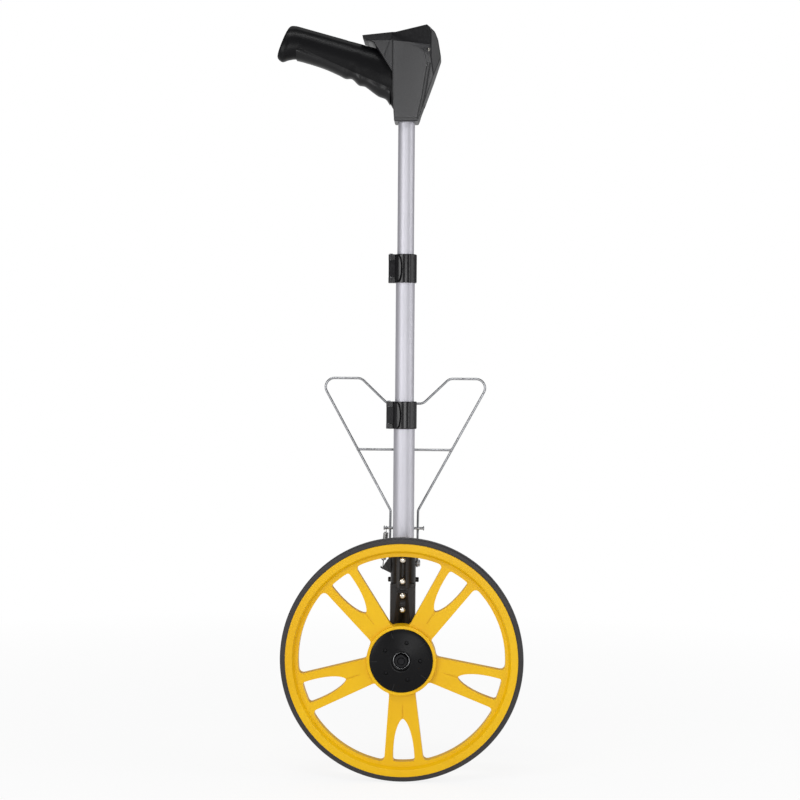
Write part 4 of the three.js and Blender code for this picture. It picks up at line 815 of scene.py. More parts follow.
@dataclass
class Studio:
    """The pale floor, the soft lights and the camera, in metres and degrees.

    Attributes:
        ground: The height of the wheel's lowest point.
        under: How far the floor lies under it.
        floor_half: Half the floor's side.
        paint: The floor's colour, as sRGB hex.
        clearing: Where the floor starts to fade to white, and where it has done so.
        clearing_share: How white it already is where the fade starts.
        floor_gloss: How bright a mirror sees the floor.
        fill: The world's soft light.
        gloss_fill: The world's light in a mirror that faces forward.
        back_light: How much whiter it is towards the back.
        back: Where that starts and ends, as the share of the way back.
        eye: The camera's height.
        distance: How far in front of the wheel it stands.
        side: How far it stands to the right.
        azimuth: How far it is turned.
        pitch: How far it looks down.
        roll: How far it is tilted.
        lens: Its focal length in millimetres.
        aim: What every lamp faces.
        lamps: The lamps.
    """

    ground: float = -0.95675
    under: float = 0.0006
    floor_half: float = 30
    paint: str = "#F4F4F4"
    clearing: tuple[float, float] = (0.4, 1.8)
    clearing_share: float = 0.75
    floor_gloss: float = 0.45
    fill: float = 0.42
    gloss_fill: float = 0.17
    back_light: float = 0.2
    back: tuple[float, float] = (0.3, 0.95)
    eye: float = 0.377
    distance: float = 2.2
    side: float = -0.0059
    azimuth: float = 2.2
    pitch: float = 1.0
    roll: float = 0.45
    lens: float = 74.8
    aim: tuple[float, float, float] = (0.1, 0, -0.5)
    lamps: tuple[Lamp, ...] = (
        Lamp("key", (-1.7, -2.1, -0.15), (1.3, 1.1), 22),
        Lamp("front", (0.45, -2.6, -0.42), (0.9, 0.7), 12),
        Lamp("side", (2.3, -0.6, 0.0), (1.2, 1.8), 14),
        Lamp("band", (-0.2, -1.4, 1.35), (1.6, 0.3), 16),
        Lamp("top", (0.0, 0.3, 1.9), (1.6, 1.0), 6),
    )

    def build(self) -> None:
        """Set up the floor, the world, the lights and the camera."""
        bpy.context.scene.view_settings.view_transform = "Standard"
        self.lay_floor()
        self.fill_world()
        for lamp in self.lamps:
            lamp.hang(self.aim)
        self.stand_camera()

    def lay_floor(self) -> None:
        """Lay a wide pale floor that keeps the object's soft shadow and fades to white around it."""
        mesh = bmesh.new()
        bmesh.ops.create_grid(mesh, x_segments=1, y_segments=1, size=self.floor_half)
        mesh.transform(Matrix.Translation((0, 0, self.ground - self.under)))
        data = bpy.data.meshes.new("floor")
        mesh.to_mesh(data)
        mesh.free()
        floor = placed("floor", data)
        made = bpy.data.materials.new("painted_floor_matt")
        tree = blank_tree(made)
        paint = add_node(tree, "BsdfDiffuse", {"Color": linear(self.paint)}).outputs[0]
        glow = add_node(tree, "Emission", {"Strength": 1.0}).outputs[0]
        place = add_node(tree, "TexCoord").outputs["Object"]
        away = add_node(tree, "VectorMath", {0: place}, operation="LENGTH").outputs["Value"]
        start, end = self.clearing
        fade = add_node(tree, "MapRange", {"Value": away, "From Min": start, "From Max": end,
                                           "To Min": self.clearing_share}).outputs["Result"]
        rays = add_node(tree, "LightPath").outputs
        glossy = add_node(tree, "Math", {0: rays["Is Glossy Ray"], 1: self.floor_gloss},
                          operation="MULTIPLY").outputs[0]
        seen = add_node(tree, "Math", {0: rays["Is Camera Ray"], 1: glossy}, operation="MAXIMUM").outputs[0]
        share = add_node(tree, "Math", {0: seen, 1: fade}, operation="MULTIPLY").outputs[0]
        mixed = add_node(tree, "MixShader", {0: share, 1: paint, 2: glow}).outputs[0]
        add_node(tree, "OutputMaterial", {"Surface": mixed})
        data.materials.append(made)

    def fill_world(self) -> None:
        """Fill the world with pale light, dimmer in reflections and a little whiter there towards the back,
        and white to the camera and through glass.
        """
        world = bpy.data.worlds.new("studio")
        bpy.context.scene.world = world
        tree = blank_tree(world)
        rays = add_node(tree, "LightPath").outputs
        fill = add_node(tree, "MapRange", {"Value": rays["Is Glossy Ray"], "To Min": self.fill,
                                           "To Max": self.gloss_fill}).outputs["Result"]
        soft = add_node(tree, "Background", {"Color": linear("#FFFFFF"), "Strength": fill}).outputs[0]
        white = add_node(tree, "Background", {"Color": linear("#FFFFFF"), "Strength": 1.0}).outputs[0]
        bare = add_node(tree, "Math", {0: rays["Is Camera Ray"], 1: rays["Is Transmission Ray"]},
                        operation="MAXIMUM").outputs[0]
        way = add_node(tree, "TexCoord").outputs["Generated"]
        depth = add_node(tree, "SeparateXYZ", {0: way}).outputs["Y"]
        start, end = self.back
        behind = add_node(tree, "MapRange", {"Value": depth, "From Min": start, "From Max": end,
                                             "To Max": self.back_light}).outputs["Result"]
        glossy = add_node(tree, "Math", {0: rays["Is Glossy Ray"], 1: behind},
                          operation="MULTIPLY").outputs[0]
        share = add_node(tree, "Math", {0: bare, 1: glossy}, operation="MAXIMUM").outputs[0]
        mixed = add_node(tree, "MixShader", {0: share, 1: soft, 2: white}).outputs[0]
        add_node(tree, "OutputWorld", {"Surface": mixed})

    def stand_camera(self) -> None:
        """Stand the camera where the photograph was taken from."""
        data = bpy.data.cameras.new("camera")
        data.lens = self.lens
        data.sensor_width = 36
        data.sensor_fit = "HORIZONTAL"
        camera = placed("camera", data)
        turn, down = math.radians(self.azimuth), math.radians(self.pitch)
        right = Vector((math.cos(turn), math.sin(turn), 0))
        ahead = Vector((-math.sin(turn) * math.cos(down), math.cos(turn) * math.cos(down), -math.sin(down)))
        level = Vector((math.sin(turn), -math.cos(turn), 0)) * self.distance
        camera.location = AXLE * MM + level + Vector((0, 0, self.eye)) + right * self.side
        look = ahead.to_track_quat("-Z", "Y").to_matrix().to_4x4()
        camera.rotation_euler = (look @ Matrix.Rotation(math.radians(self.roll), 4, "Z")).to_euler()
        bpy.context.scene.camera = camera


@dataclass
class Wheel:
    """The wheel: rubber tyre, one-piece moulded disc with five double spokes, hub cap and bearings.

    It is drawn flat, with its front up, and then stood on its edge beside the arm.
    """

    tyre_radius: float = 159.15
    tyre_width: float = 18
    tread_grooves: tuple[float, ...] = (-3.6, 0.0, 3.6)
    tread_half: float = 0.55
    tread_depth: float = 0.7
    shoulder: Flat = ((2.4, 0), (1.2, 0.35), (0.4, 1.2), (0, 2.6))
    seat: float = 149.5
    flange: float = 152
    flange_thick: float = 3.5
    flange_ease: float = 0.9
    lip: float = 142.5
    waist: float = 135.5
    rear_lip: float = 141
    hub_radius: float = 45.5
    hub_half: float = 13
    hub_ease: float = 0.7
    web_front: float = 2
    web_back: float = -3
    cap_floor: float = 9
    boss: float = 19
    boss_front: float = 8.3
    spacer_seat: tuple[float, float] = (11, -4.7)
    magnet_groove: tuple[float, float, float] = (33.2, 38.8, 9.7)
    rear_well: float = 31.2
    spokes: int = 5
    lean: float = math.radians(1.8)
    spoke_half: float = 7
    spoke_skin: float = 3
    spoke_wall: float = 2.6
    spoke_inner: float = 16.8
    spoke_outer: float = 25.5
    window_start: float = 76.8
    window_end: float = 133
    window_half: float = 14.2
    window_swell: float = 0.62
    window_corner: float = 3.4
    corner: float = 5.5
    hub_corner: float = 4.5
    arc_steps: int = 26
    crease: float = 0.8
    crease_start: float = 12.5
    plane: float = -32
    cap_radius: float = 41.2
    cap_seat: float = 9.3
    cap_edge: float = 4.4
    cap_dome: float = 5.25
    cap_skin: float = 2.2
    well: float = 12.5
    well_floor: float = 10.7
    ridge: tuple[float, float] = (31.5, 39)
    ridge_half: float = 0.45
    screw_circle: float = 25
    screw_sink: float = 2.7
    screw_head: float = 2.4
    screw_shank: float = 1.4
    screw_hole: float = 1.7
    post: float = 4.5
    race: tuple[float, float, float, float] = (5.15, 7.5, 11, 13)
    race_wide: float = 8
    body: str = "wheel"
    round_steps: int = 160

    def stood(self, shape: Shape) -> Shape:
        """A shape that was drawn flat, stood on its edge beside the arm."""
        return shape.moved(Matrix.Translation((0, self.plane, 0)) @ Axis.WHEEL.value)

    def copies(self, shape: Shape, start: float) -> list[Shape]:
        """Copies of a shape round the hub, one for each spoke, from a starting angle."""
        return [shape.copy().moved(Matrix.Rotation(start + i * FULL_TURN / self.spokes, 4, "Z"))
                for i in range(self.spokes)]

    def around(self, shape: Shape, start: float) -> Shape:
        """The copies of a shape round the hub as one shape."""
        return Shape.gathered(self.copies(shape, start))

    def round_at_screws(self, radius: float, low: float, high: float, sides: int) -> Shape:
        """Five round bars where the cap's screws are."""
        bar = Shape.rod(radius, low, high, centre=(self.screw_circle, 0, 0), sides=sides)
        return self.around(bar, self.lean)

    def spoke_width(self, radius: float) -> float:
        """Half the width of a double spoke at a distance from the axle."""
        share = (radius - self.hub_radius) / (self.window_end - self.hub_radius)
        return self.spoke_inner + (self.spoke_outer - self.spoke_inner) * share

    def spoke_edge(self, radius: float, side: int) -> tuple[float, float]:
        """A point on the edge of the opening between two spokes.

        Args:
            radius: How far from the axle.
            side: 1 or -1, for the one edge or the other.

        Returns:
            The point.
        """
        middle = math.pi / self.spokes
        angle = middle - side * (middle - math.asin(self.spoke_width(radius) / radius))
        return radius * math.cos(angle), radius * math.sin(angle)

    def tyre(self) -> None:
        """The rubber tyre, with rounded shoulders and three shallow grooves round its tread."""
        half, top = self.tyre_width / 2, self.tyre_radius
        groove, floor = self.tread_half, top - self.tread_depth
        shoulder = [(top - drop, inwards - half) for drop, inwards in self.shoulder]
        profile = [(self.seat + FIT, -half), *shoulder]
        for place in self.tread_grooves:
            profile += [(top, place - groove), (floor, place - groove / 3), (floor, place + groove / 3),
                        (top, place + groove)]
        profile += [(r, -z) for r, z in reversed(shoulder)] + [(self.seat + FIT, half)]
        shape = Shape.turned(profile, 240)
        self.stood(shape).piece("tyre_tread", self.body, TYRE_RUBBER, ["tyre"], smooth=50)

    def rim(self) -> Shape:
        """The rim: two flanges with eased lips, the tyre's seat and a drafted inner wall.

        Returns:
            The rim, one turned section.
        """
        seat = self.tyre_width / 2 + FIT
        edge, top, ease = seat + self.flange_thick, self.flange, self.flange_ease
        profile = [(self.lip - ease * 0.4, edge - ease * 1.4), (self.waist + 0.6, 0.8), (self.waist, 0),
                   (self.waist + 0.5, -0.8), (self.rear_lip - ease * 0.4, -edge + ease * 1.4),
                   (self.rear_lip + ease * 0.3, -edge + ease * 0.3), (self.rear_lip + ease * 1.3, -edge),
                   (top - ease, -edge), (top - ease * 0.3, -edge + ease * 0.3), (top, -edge + ease),
                   (top, -seat), (self.seat, -seat), (self.seat, seat), (top, seat), (top, edge - ease),
                   (top - ease * 0.3, edge - ease * 0.3), (top - ease, edge), (self.lip + ease * 1.3, edge),
                   (self.lip + ease * 0.3, edge - ease * 0.3)]
        return Shape.turned(profile, self.round_steps)

    def opening(self) -> Shape:
        """One of the five large openings between the spokes, with rounded corners.

        Returns:
            The shape that is cut out.
        """
        outer, inner, steps = self.waist - 0.3, self.hub_radius + 1.2, self.arc_steps
        start, end = Vector(self.spoke_edge(outer, 1)), Vector(self.spoke_edge(outer, -1))
        first, last = math.atan2(start.y, start.x), math.atan2(end.y, end.x)
        clear = math.copysign(self.corner * 1.6 / outer, last - first)
        corners = [tuple(start)]
        for i in range(steps + 1):
            angle = first + clear + (last - first - clear * 2) * i / steps
            corners.append((outer * math.cos(angle), outer * math.sin(angle)))
        corners += [tuple(end), self.spoke_edge(inner, -1), self.spoke_edge(inner, 1)]
        radii = [self.corner] + [0] * (steps + 1) + [self.corner, self.hub_corner, self.hub_corner]
        return Shape.slab(rounded(corners, radii, 4), -self.hub_half * 2, self.hub_half * 2)

    def window(self, wall: float) -> Shape:
        """The teardrop window that makes a spoke double.

        Args:
            wall: How much larger it is drawn.

        Returns:
            The shape that is cut out.
        """
        start, end, half = self.window_start - wall, self.window_end + wall, self.window_half + wall
        shares = [0, 0.006, 0.02, 0.045, 0.08, 0.13, 0.2, 0.3, 0.42, 0.56, 0.7, 0.84]
        edge = [(start + (end - start) * share, half * math.sin(QUARTER * share ** self.window_swell))
                for share in shares]
        arc = [(math.sqrt(end * end - y * y), y) for y in (half, half * 0.5, 0, -half * 0.5, -half)]
        corners = edge + arc + [(x, -y) for x, y in reversed(edge[1:])]
        radii = [0.0] * len(corners)
        radii[len(edge)] = radii[len(edge) + 4] = self.window_corner + wall
        return Shape.slab(rounded(corners, radii, 7), -self.spoke_half * 3, self.spoke_half * 3)

    def star(self) -> Shape:
        """The five double spokes, eased at their edges, with a crease in front and a pocket behind.

        Returns:
            The five spokes as one shape, with a ring at both ends.
        """
        half, first = self.spoke_half, self.lean - QUARTER
        inner, outer = self.hub_radius - 3, self.seat - 4
        web = Shape.turned(oblong(inner, -half, outer, half), self.round_steps)
        openings, windows = self.around(self.opening(), first), self.around(self.window(0), first)
        star = web.cut(openings).cut(windows).eased(1.3, 3, 50)
        wall, start, end = self.spoke_wall, self.hub_radius, self.waist + self.spoke_wall
        narrow, wide = self.spoke_width(start) - wall, self.spoke_width(end) - wall
        hollow = rounded([(start, -narrow), (end, -wide), (end, wide), (start, narrow)], [1.5] * 4, 3)
        pocket = Shape.slab(hollow, -half * 2, half - self.spoke_skin).cut(self.window(wall))
        near, far = self.hub_radius + self.crease_start, self.window_start
        wedge = [(near, -0.5), (far, -1.0), (far, 1.0), (near, 0.5)]
        crease = Shape.slab(wedge, half - self.crease, half * 2)
        return star.cut(self.around(pocket, first)).cut(self.around(crease, first))

    def hub(self) -> Shape:
        """The hub as one turned section: bearing seats, web, cap seat and magnet groove.

        Returns:
            The hub.
        """
        seat = self.race[-1] + FIT / 2
        rim, outer = self.cap_radius + FIT, self.hub_radius
        top, ease, boss, crest = self.hub_half, self.hub_ease, self.boss, self.boss_front
        front, back, ledge, well = self.web_front, self.web_back, self.cap_floor, self.rear_well
        (inner, rear), (near, far, deep) = self.spacer_seat, self.magnet_groove
        profile = [(inner, 0), (seat, 0), (seat, crest), (boss - 0.5, crest), (boss, crest - 0.5),
                   (boss, front), (rim - 2, front), (rim - 2, ledge), (rim, ledge), (rim, top - 0.3),
                   (rim + 0.3, top), (outer - ease, top), (outer - ease * 0.3, top - ease * 0.3),
                   (outer, top - ease), (outer, -top + ease), (outer - ease, -top), (far, -top),
                   (far, -deep), (near, -deep), (near, -top), (well, -top), (well, back),
                   (boss, back), (boss, -top), (seat, -top), (seat, rear), (inner, rear)]
        return Shape.turned(profile, self.round_steps)

    def disc(self) -> None:
        """The whole yellow moulding."""
        posts = self.round_at_screws(self.post, self.web_back, self.cap_floor, COARSE)
        holes = self.round_at_screws(self.screw_hole, self.web_front, 20, 16)
        core = Shape.rod(self.hub_radius - 1.5, -self.hub_half * 2, self.hub_half * 2, sides=self.round_steps)
        moulding = self.rim().join(self.star().cut(core)).join(self.hub()).join(posts).cut(holes)
        self.stood(moulding).piece("wheel_moulding", self.body, YELLOW_ABS, ["wheel_disc"], smooth=34)

    def dome(self, radius: float) -> float:
        """The height of the cap's dome over the wheel's middle plane, at a distance from the axle."""
        return self.cap_seat + self.cap_edge + self.cap_dome * math.cos(radius / self.cap_radius * QUARTER)

    def hub_cap(self) -> None:
        """The domed cap, with the axle's well in the middle, five sunk screws and five thin ridges."""
        low, wide, well, floor = self.cap_seat, self.cap_radius, self.well, self.well_floor
        top = low + self.cap_edge
        crown = top + self.cap_dome
        lip = well + 1.6
        stations = [wide - 1.4 - (wide - 1.4 - lip) * i / 9 for i in range(10)]
        outside = [(wide, low), (wide, top - 1.2), (wide - 0.35, top - 0.4), (wide - 1.0, top + 0.05)]
        outside += [(r, self.dome(r)) for r in stations[1:-1]]
        outside += [(lip + 0.4, crown - 0.45), (lip - 0.2, crown - 0.5), (well + 0.3, crown - 0.8),
                    (well, crown - 1.4), (well, low + 1.6), (floor, low + 1.2), (floor, low)]
        inside = [(lip, low), (lip, crown - 4.4)]
        inside += [(r, self.dome(r) - self.cap_skin) for r in reversed(stations[2:-2])]
        inside += [(wide - 2.4, top - self.cap_skin), (wide - 2.4, low)]
        dome = Shape.turned(outside + inside, 128)
        reach = self.dome(self.screw_circle)
        posts = self.round_at_screws(self.post, low, reach - 1.1, COARSE)
        holes = self.round_at_screws(self.screw_hole, 0, crown * 2, 20)
        sinks = self.round_at_screws(self.screw_sink, reach - 4, crown * 2, 28)
        near, far = self.ridge
        ridge = Shape.block((near, -self.ridge_half, top), (far, self.ridge_half, self.dome(near) + 0.12))
        ridges = self.around(ridge, self.lean + math.pi / self.spokes)
        cap = dome.join(posts).join(ridges).cut(holes).cut(sinks)
        # The cap takes the darker copy of the black resin, a painted shade.
        self.stood(cap).piece("hub_cap_dome", self.body, SMOOTH_SHADED_BLACK_ABS, ["hub_cap"], smooth=30)

    def cap_screws(self) -> None:
        """Five cross-recessed screws at the bottom of the cap's holes."""
        x = self.screw_circle
        under = self.dome(x) - 4 + FIT
        head = Shape.rod(self.screw_head, under, under + 2, centre=(x, 0, 0), sides=COARSE, edge=0.5)
        bars = [Shape.block((x - a, -b, under + 1.2), (x + a, b, under + 3))
                for a, b in ((1.4, 0.3), (0.3, 1.4))]
        shank = Shape.rod(self.screw_shank, self.web_front + FIT, under + FIT, centre=(x, 0, 0), sides=16)
        for i, screw in enumerate(self.copies(head.join(shank).cut(*bars), self.lean)):
            self.stood(screw).piece(f"hub_cap_screw_{i + 1}_dressed", self.body, BLACK_OXIDE,
                                    [f"hub_cap_screw_{i + 1}"], smooth=30)

    def bearings(self) -> None:
        """Two sealed ball bearings, the spacer between them, the magnet ring and the rear cap."""
        bore, inner, outer, rim = self.race
        section = [(bore, 0.3), (bore + 0.3, 0), (inner - 0.2, 0), (inner, 0.2), (inner, 0.5), (outer, 0.5),
                   (outer, 0.2), (outer + 0.2, 0), (rim - 0.3, 0), (rim, 0.3)]
        for name, low in (("bearing_front", FIT), ("bearing_rear", -self.hub_half)):
            high = low + self.race_wide
            ring = [(r, low + z) for r, z in section] + [(r, high - z) for r, z in reversed(section)]
            self.stood(Shape.turned(ring, 64)).piece(f"{name}_races", self.body, BEARING_STEEL, [name],
                                                     smooth=30)
        refined("bearing_spacer", BEARING_STEEL, 0.2)
        refined("magnet_ring", SOFT_GRIP, 0.2)
        refined("hub_rear_cap", GLOSS_BLACK_ABS, 0.3)

    def build(self) -> None:
        """Build and dress the whole wheel."""
        self.tyre()
        self.disc()
        self.hub_cap()
        self.cap_screws()
        self.bearings()


@dataclass
class Stand:
    """The folding wire stand: bent frame with eyes, welded bar and pin, pivot screws and pull spring."""

    wire: float = 1.6
    leg: float = 18.4
    plane: float = 26
    bend_height: float = 190.2
    ear_top: float = 367
    ear_outer: float = 115
    ear_inner: float = 59
    notch: float = 333.5
    notch_half: float = 24
    bend: float = 12
    leg_bend: float = 7
    pivot: tuple[float, float] = (8, 121.6)
    pivot_radius: float = 2
    pivot_head: float = 4.7
    pivot_head_thick: float = 2.2
    bar_height: float = 271.8
    bar_over: float = 1.5
    pin_height: float = 167.3
    pin_radius: float = 1.8
    pin_half: float = 27.2
    pin_head: float = 3.2
    pin_head_thick: float = 1.5
    bead: float = 0.5
    spring_wire: float = 0.5
    spring_coil: float = 3
    spring_curls: int = 25
    spring_x: float = -23.4
    spring_start: float = 3.0
    spring_end: float = 9.5
    hook: tuple[float, float, float] = (-27.0, 0, 116.2)
    socket_half: float = 13.1
    body: str = "stand"

    def leg_depth(self, height: float) -> float:
        """Where the stowed leg stands behind the tube at a height."""
        share = (height - self.pivot[1]) / (self.bend_height - self.pivot[1])
        return self.pivot[0] + (self.plane - self.pivot[0]) * min(1, max(0, share))

    def wire_half(self, height: float) -> float:
        """Half the width between the outer wires at a height."""
        share = (height - self.bend_height) / (self.ear_top - self.bend_height)
        return self.leg + (self.ear_outer - self.leg) * share

    def pin_depth(self) -> float:
        """Where the cross pin lies in front of the legs."""
        return self.leg_depth(self.pin_height) - self.wire - FIT - self.pin_radius

    @staticmethod
    def outwards(side: int, place: Sequence[float]) -> Matrix:
        """The move to a place of what points to +X, turned round for the side at -X."""
        turn = Matrix.Identity(4) if side > 0 else Matrix.Rotation(math.pi, 4, "Z")
        return Matrix.Translation(place) @ turn

    def bent_wire(self) -> None:
        """The frame, bent from one length of wire, with an eye at each end."""
        wire, plane, steps = self.wire, self.plane, 16
        eye = self.pivot_radius + FIT + wire
        start = self.pivot[1] + eye
        half = [Vector((self.leg, self.leg_depth(start), start)), Vector((self.leg, plane, self.bend_height)),
                Vector((self.ear_outer, plane, self.ear_top)), Vector((self.ear_inner, plane, self.ear_top)),
                Vector((self.notch_half, plane, self.notch))]
        path = half + [Vector((-p.x, p.y, p.z)) for p in reversed(half)]
        radii = [0, self.leg_bend, self.bend, self.bend, self.bend]
        bow = Shape.swept(bent(path, radii + radii[::-1], 8), wire, 20)
        angles = [k * FULL_TURN / steps for k in range(steps)]
        ring = [(eye + wire * math.cos(a), wire * math.sin(a)) for a in angles]
        for side in (-1, 1):
            bow = bow.join(Shape.turned(ring, MEDIUM, Axis.X, (side * self.leg, *self.pivot)))
        bow.piece("stand_wire_frame", self.body, ZINC_WIRE, ["stand_frame"], smooth=60)

    def weld(self, place: Sequence[float], long: float) -> Shape:
        """A weld bead, as a flattened ball.

        Args:
            place: Its middle.
            long: Half its length across.

        Returns:
            The bead.
        """
        steps = 8
        thick = self.wire + self.bead
        profile = [(thick * math.sin(k * math.pi / steps), -long * math.cos(k * math.pi / steps))
                   for k in range(steps + 1)]
        return Shape.turned(profile, 20, Axis.X, place)

    def crossing(self) -> None:
        """The bar and the pin that tie the legs, with their weld beads."""
        depth = self.plane - self.wire * 2 - FIT
        reach = self.wire_half(self.bar_height) + self.bar_over
        bar = Shape.rod(self.wire, -reach, reach, Axis.X, (0, depth, self.bar_height), COARSE, 0.5)
        for side in (-1, 1):
            x = side * (reach - self.bar_over - 0.6)
            bar = bar.join(self.weld((x, depth + 0.6, self.bar_height), 2.2))
        bar.piece("stand_bar", self.body, ZINC_WIRE, ["stand_cross_bar"], smooth=50)
        at = (0, self.pin_depth(), self.pin_height)
        pin = Shape.rod(self.pin_radius, -self.pin_half + 0.5, self.pin_half - 0.5, Axis.X, at, COARSE)
        wide, flat, top = self.pin_head, self.pin_half - self.pin_head_thick, self.pin_half
        head = [(0, flat), (wide, flat), (wide, flat + 0.5), (wide * 0.85, top - 0.35),
                (wide * 0.5, top - 0.06), (0, top)]
        for side in (-1, 1):
            pin = pin.join(Shape.turned(head, 32, Axis.X).moved(self.outwards(side, at)))
            pin = pin.join(self.weld((side * self.leg, at[1] + 0.5, at[2]), 2.4))
        pin.piece("stand_pin", self.body, ZINC_WIRE, ["stand_cross_pin"], smooth=40)

    def pivot_screws(self) -> None:
        """The two shoulder screws that the stand swings on, with domed heads and a cross in each."""
        inner, outer = self.socket_half, self.leg + self.wire + FIT
        shank, wide = self.pivot_radius, self.pivot_head
        top = outer + self.pivot_head_thick
        profile = [(0, inner), (shank, inner), (shank, outer), (wide, outer), (wide, outer + 0.7),
                   (wide * 0.85, top - 0.55), (wide * 0.5, top - 0.1), (0, top)]
        for i, side in enumerate((-1, 1)):
            cross = cross_recess(2.6, 0.8, top - 1.1, top + 1, Axis.X)
            screw = Shape.turned(profile, MEDIUM, Axis.X).cut(*cross)
            screw.moved(self.outwards(side, (0, *self.pivot))).piece(
                f"stand_screw_{i + 1}", "lower", ZINC_WIRE, [f"stand_pivot_screw_{i + 1}"], smooth=40)

    def pull_spring(self) -> None:
        """The pull spring from the pin to the arm's hook: close coils, and a drawn-out loop at each end."""
        top, bottom = Vector((self.spring_x, self.pin_depth(), self.pin_height)), Vector(self.hook)
        along = (bottom - top).normalized()
        side = Vector((1, 0, 0))
        side = (side - along * side.dot(along)).normalized()
        other = along.cross(side)
        start = top + along * (self.pin_radius + self.spring_wire)
        length = (bottom - start).length
        first, last, steps = self.spring_start, length - self.spring_end, 16
        hooked = self.pin_radius + self.spring_wire + 0.2
        path = [top + along * (hooked * math.cos(a)) + other * (hooked * math.sin(a))
                for a in map(math.radians, range(200, 0, -20))]
        path.append(start + along * 0.6)
        count = self.spring_curls * steps
        for i in range(count + 1):
            angle = i * FULL_TURN / steps
            edge = min(1, (i + 2) / steps, (count - i + 2) / steps)
            path.append(start + along * (first + (last - first) * i / count)
                        + (side * math.cos(angle) + other * math.sin(angle)) * self.spring_coil * edge)
        end = start + along * last
        loop = (length - last) / 2 + 0.4
        middle = end + along * (loop + 1.2)
        path += [middle - along * (loop * math.cos(a)) + other * (self.spring_coil * 0.8 * math.sin(a))
                 for a in map(math.radians, range(20, 341, 20))]
        piece = Shape.swept(path, self.spring_wire, 10).piece(
            "stand_pull_spring", "", SPRING_WIRE, ["stand_spring"], smooth=70)
        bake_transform(piece)

    def build(self) -> None:
        """Build the stand and what holds it."""
        self.bent_wire()
        self.crossing()
        self.pivot_screws()
        self.pull_spring()


@dataclass
class Tubes:
    """The three telescopic tubes with eased ends; the plugs that guide the sliding ones are not built here.
    """

    wall: float = 1.2
    edge: float = 0.3
    lower: tuple[float, float, float] = (14, 95, 326)
    middle: tuple[float, float, float] = (12.5, 276, 520)
    upper: tuple[float, float, float] = (11, 458, 752)
    screw_heights: tuple[float, float] = (128.3, 100.1)
    screw_hole: float = 2.2

    def drawn(self, radius: float, low: float, high: float) -> Shape:
        """One tube with its four end edges eased.

        Args:
            radius: Its outer radius.
            low: Its lower end.
            high: Its upper end.

        Returns:
            The tube.
        """
        inner, edge = radius - self.wall, self.edge
        profile = [(inner, low + edge), (inner + edge, low), (radius - edge, low), (radius, low + edge),
                   (radius, high - edge), (radius - edge, high), (inner + edge, high), (inner, high - edge)]
        return Shape.turned(profile, FINE)

    def build(self) -> None:
        """Build the tubes; the lowest one is drilled for the arm's upper screws."""
        holes = [Shape.rod(self.screw_hole, -self.lower[0] * 2, 0, Axis.Y, (0, 0, z), 20)
                 for z in self.screw_heights]
        for name, body, sizes in (("lower", "lower", self.lower), ("middle", "middle", self.middle),
                                  ("upper", "handle", self.upper)):
            tube = self.drawn(*sizes).cut(*holes) if name == "lower" else self.drawn(*sizes)
            tube.piece(f"tube_{name}", body, ANODISED_TUBE, [f"{name}_tube"], smooth=30)


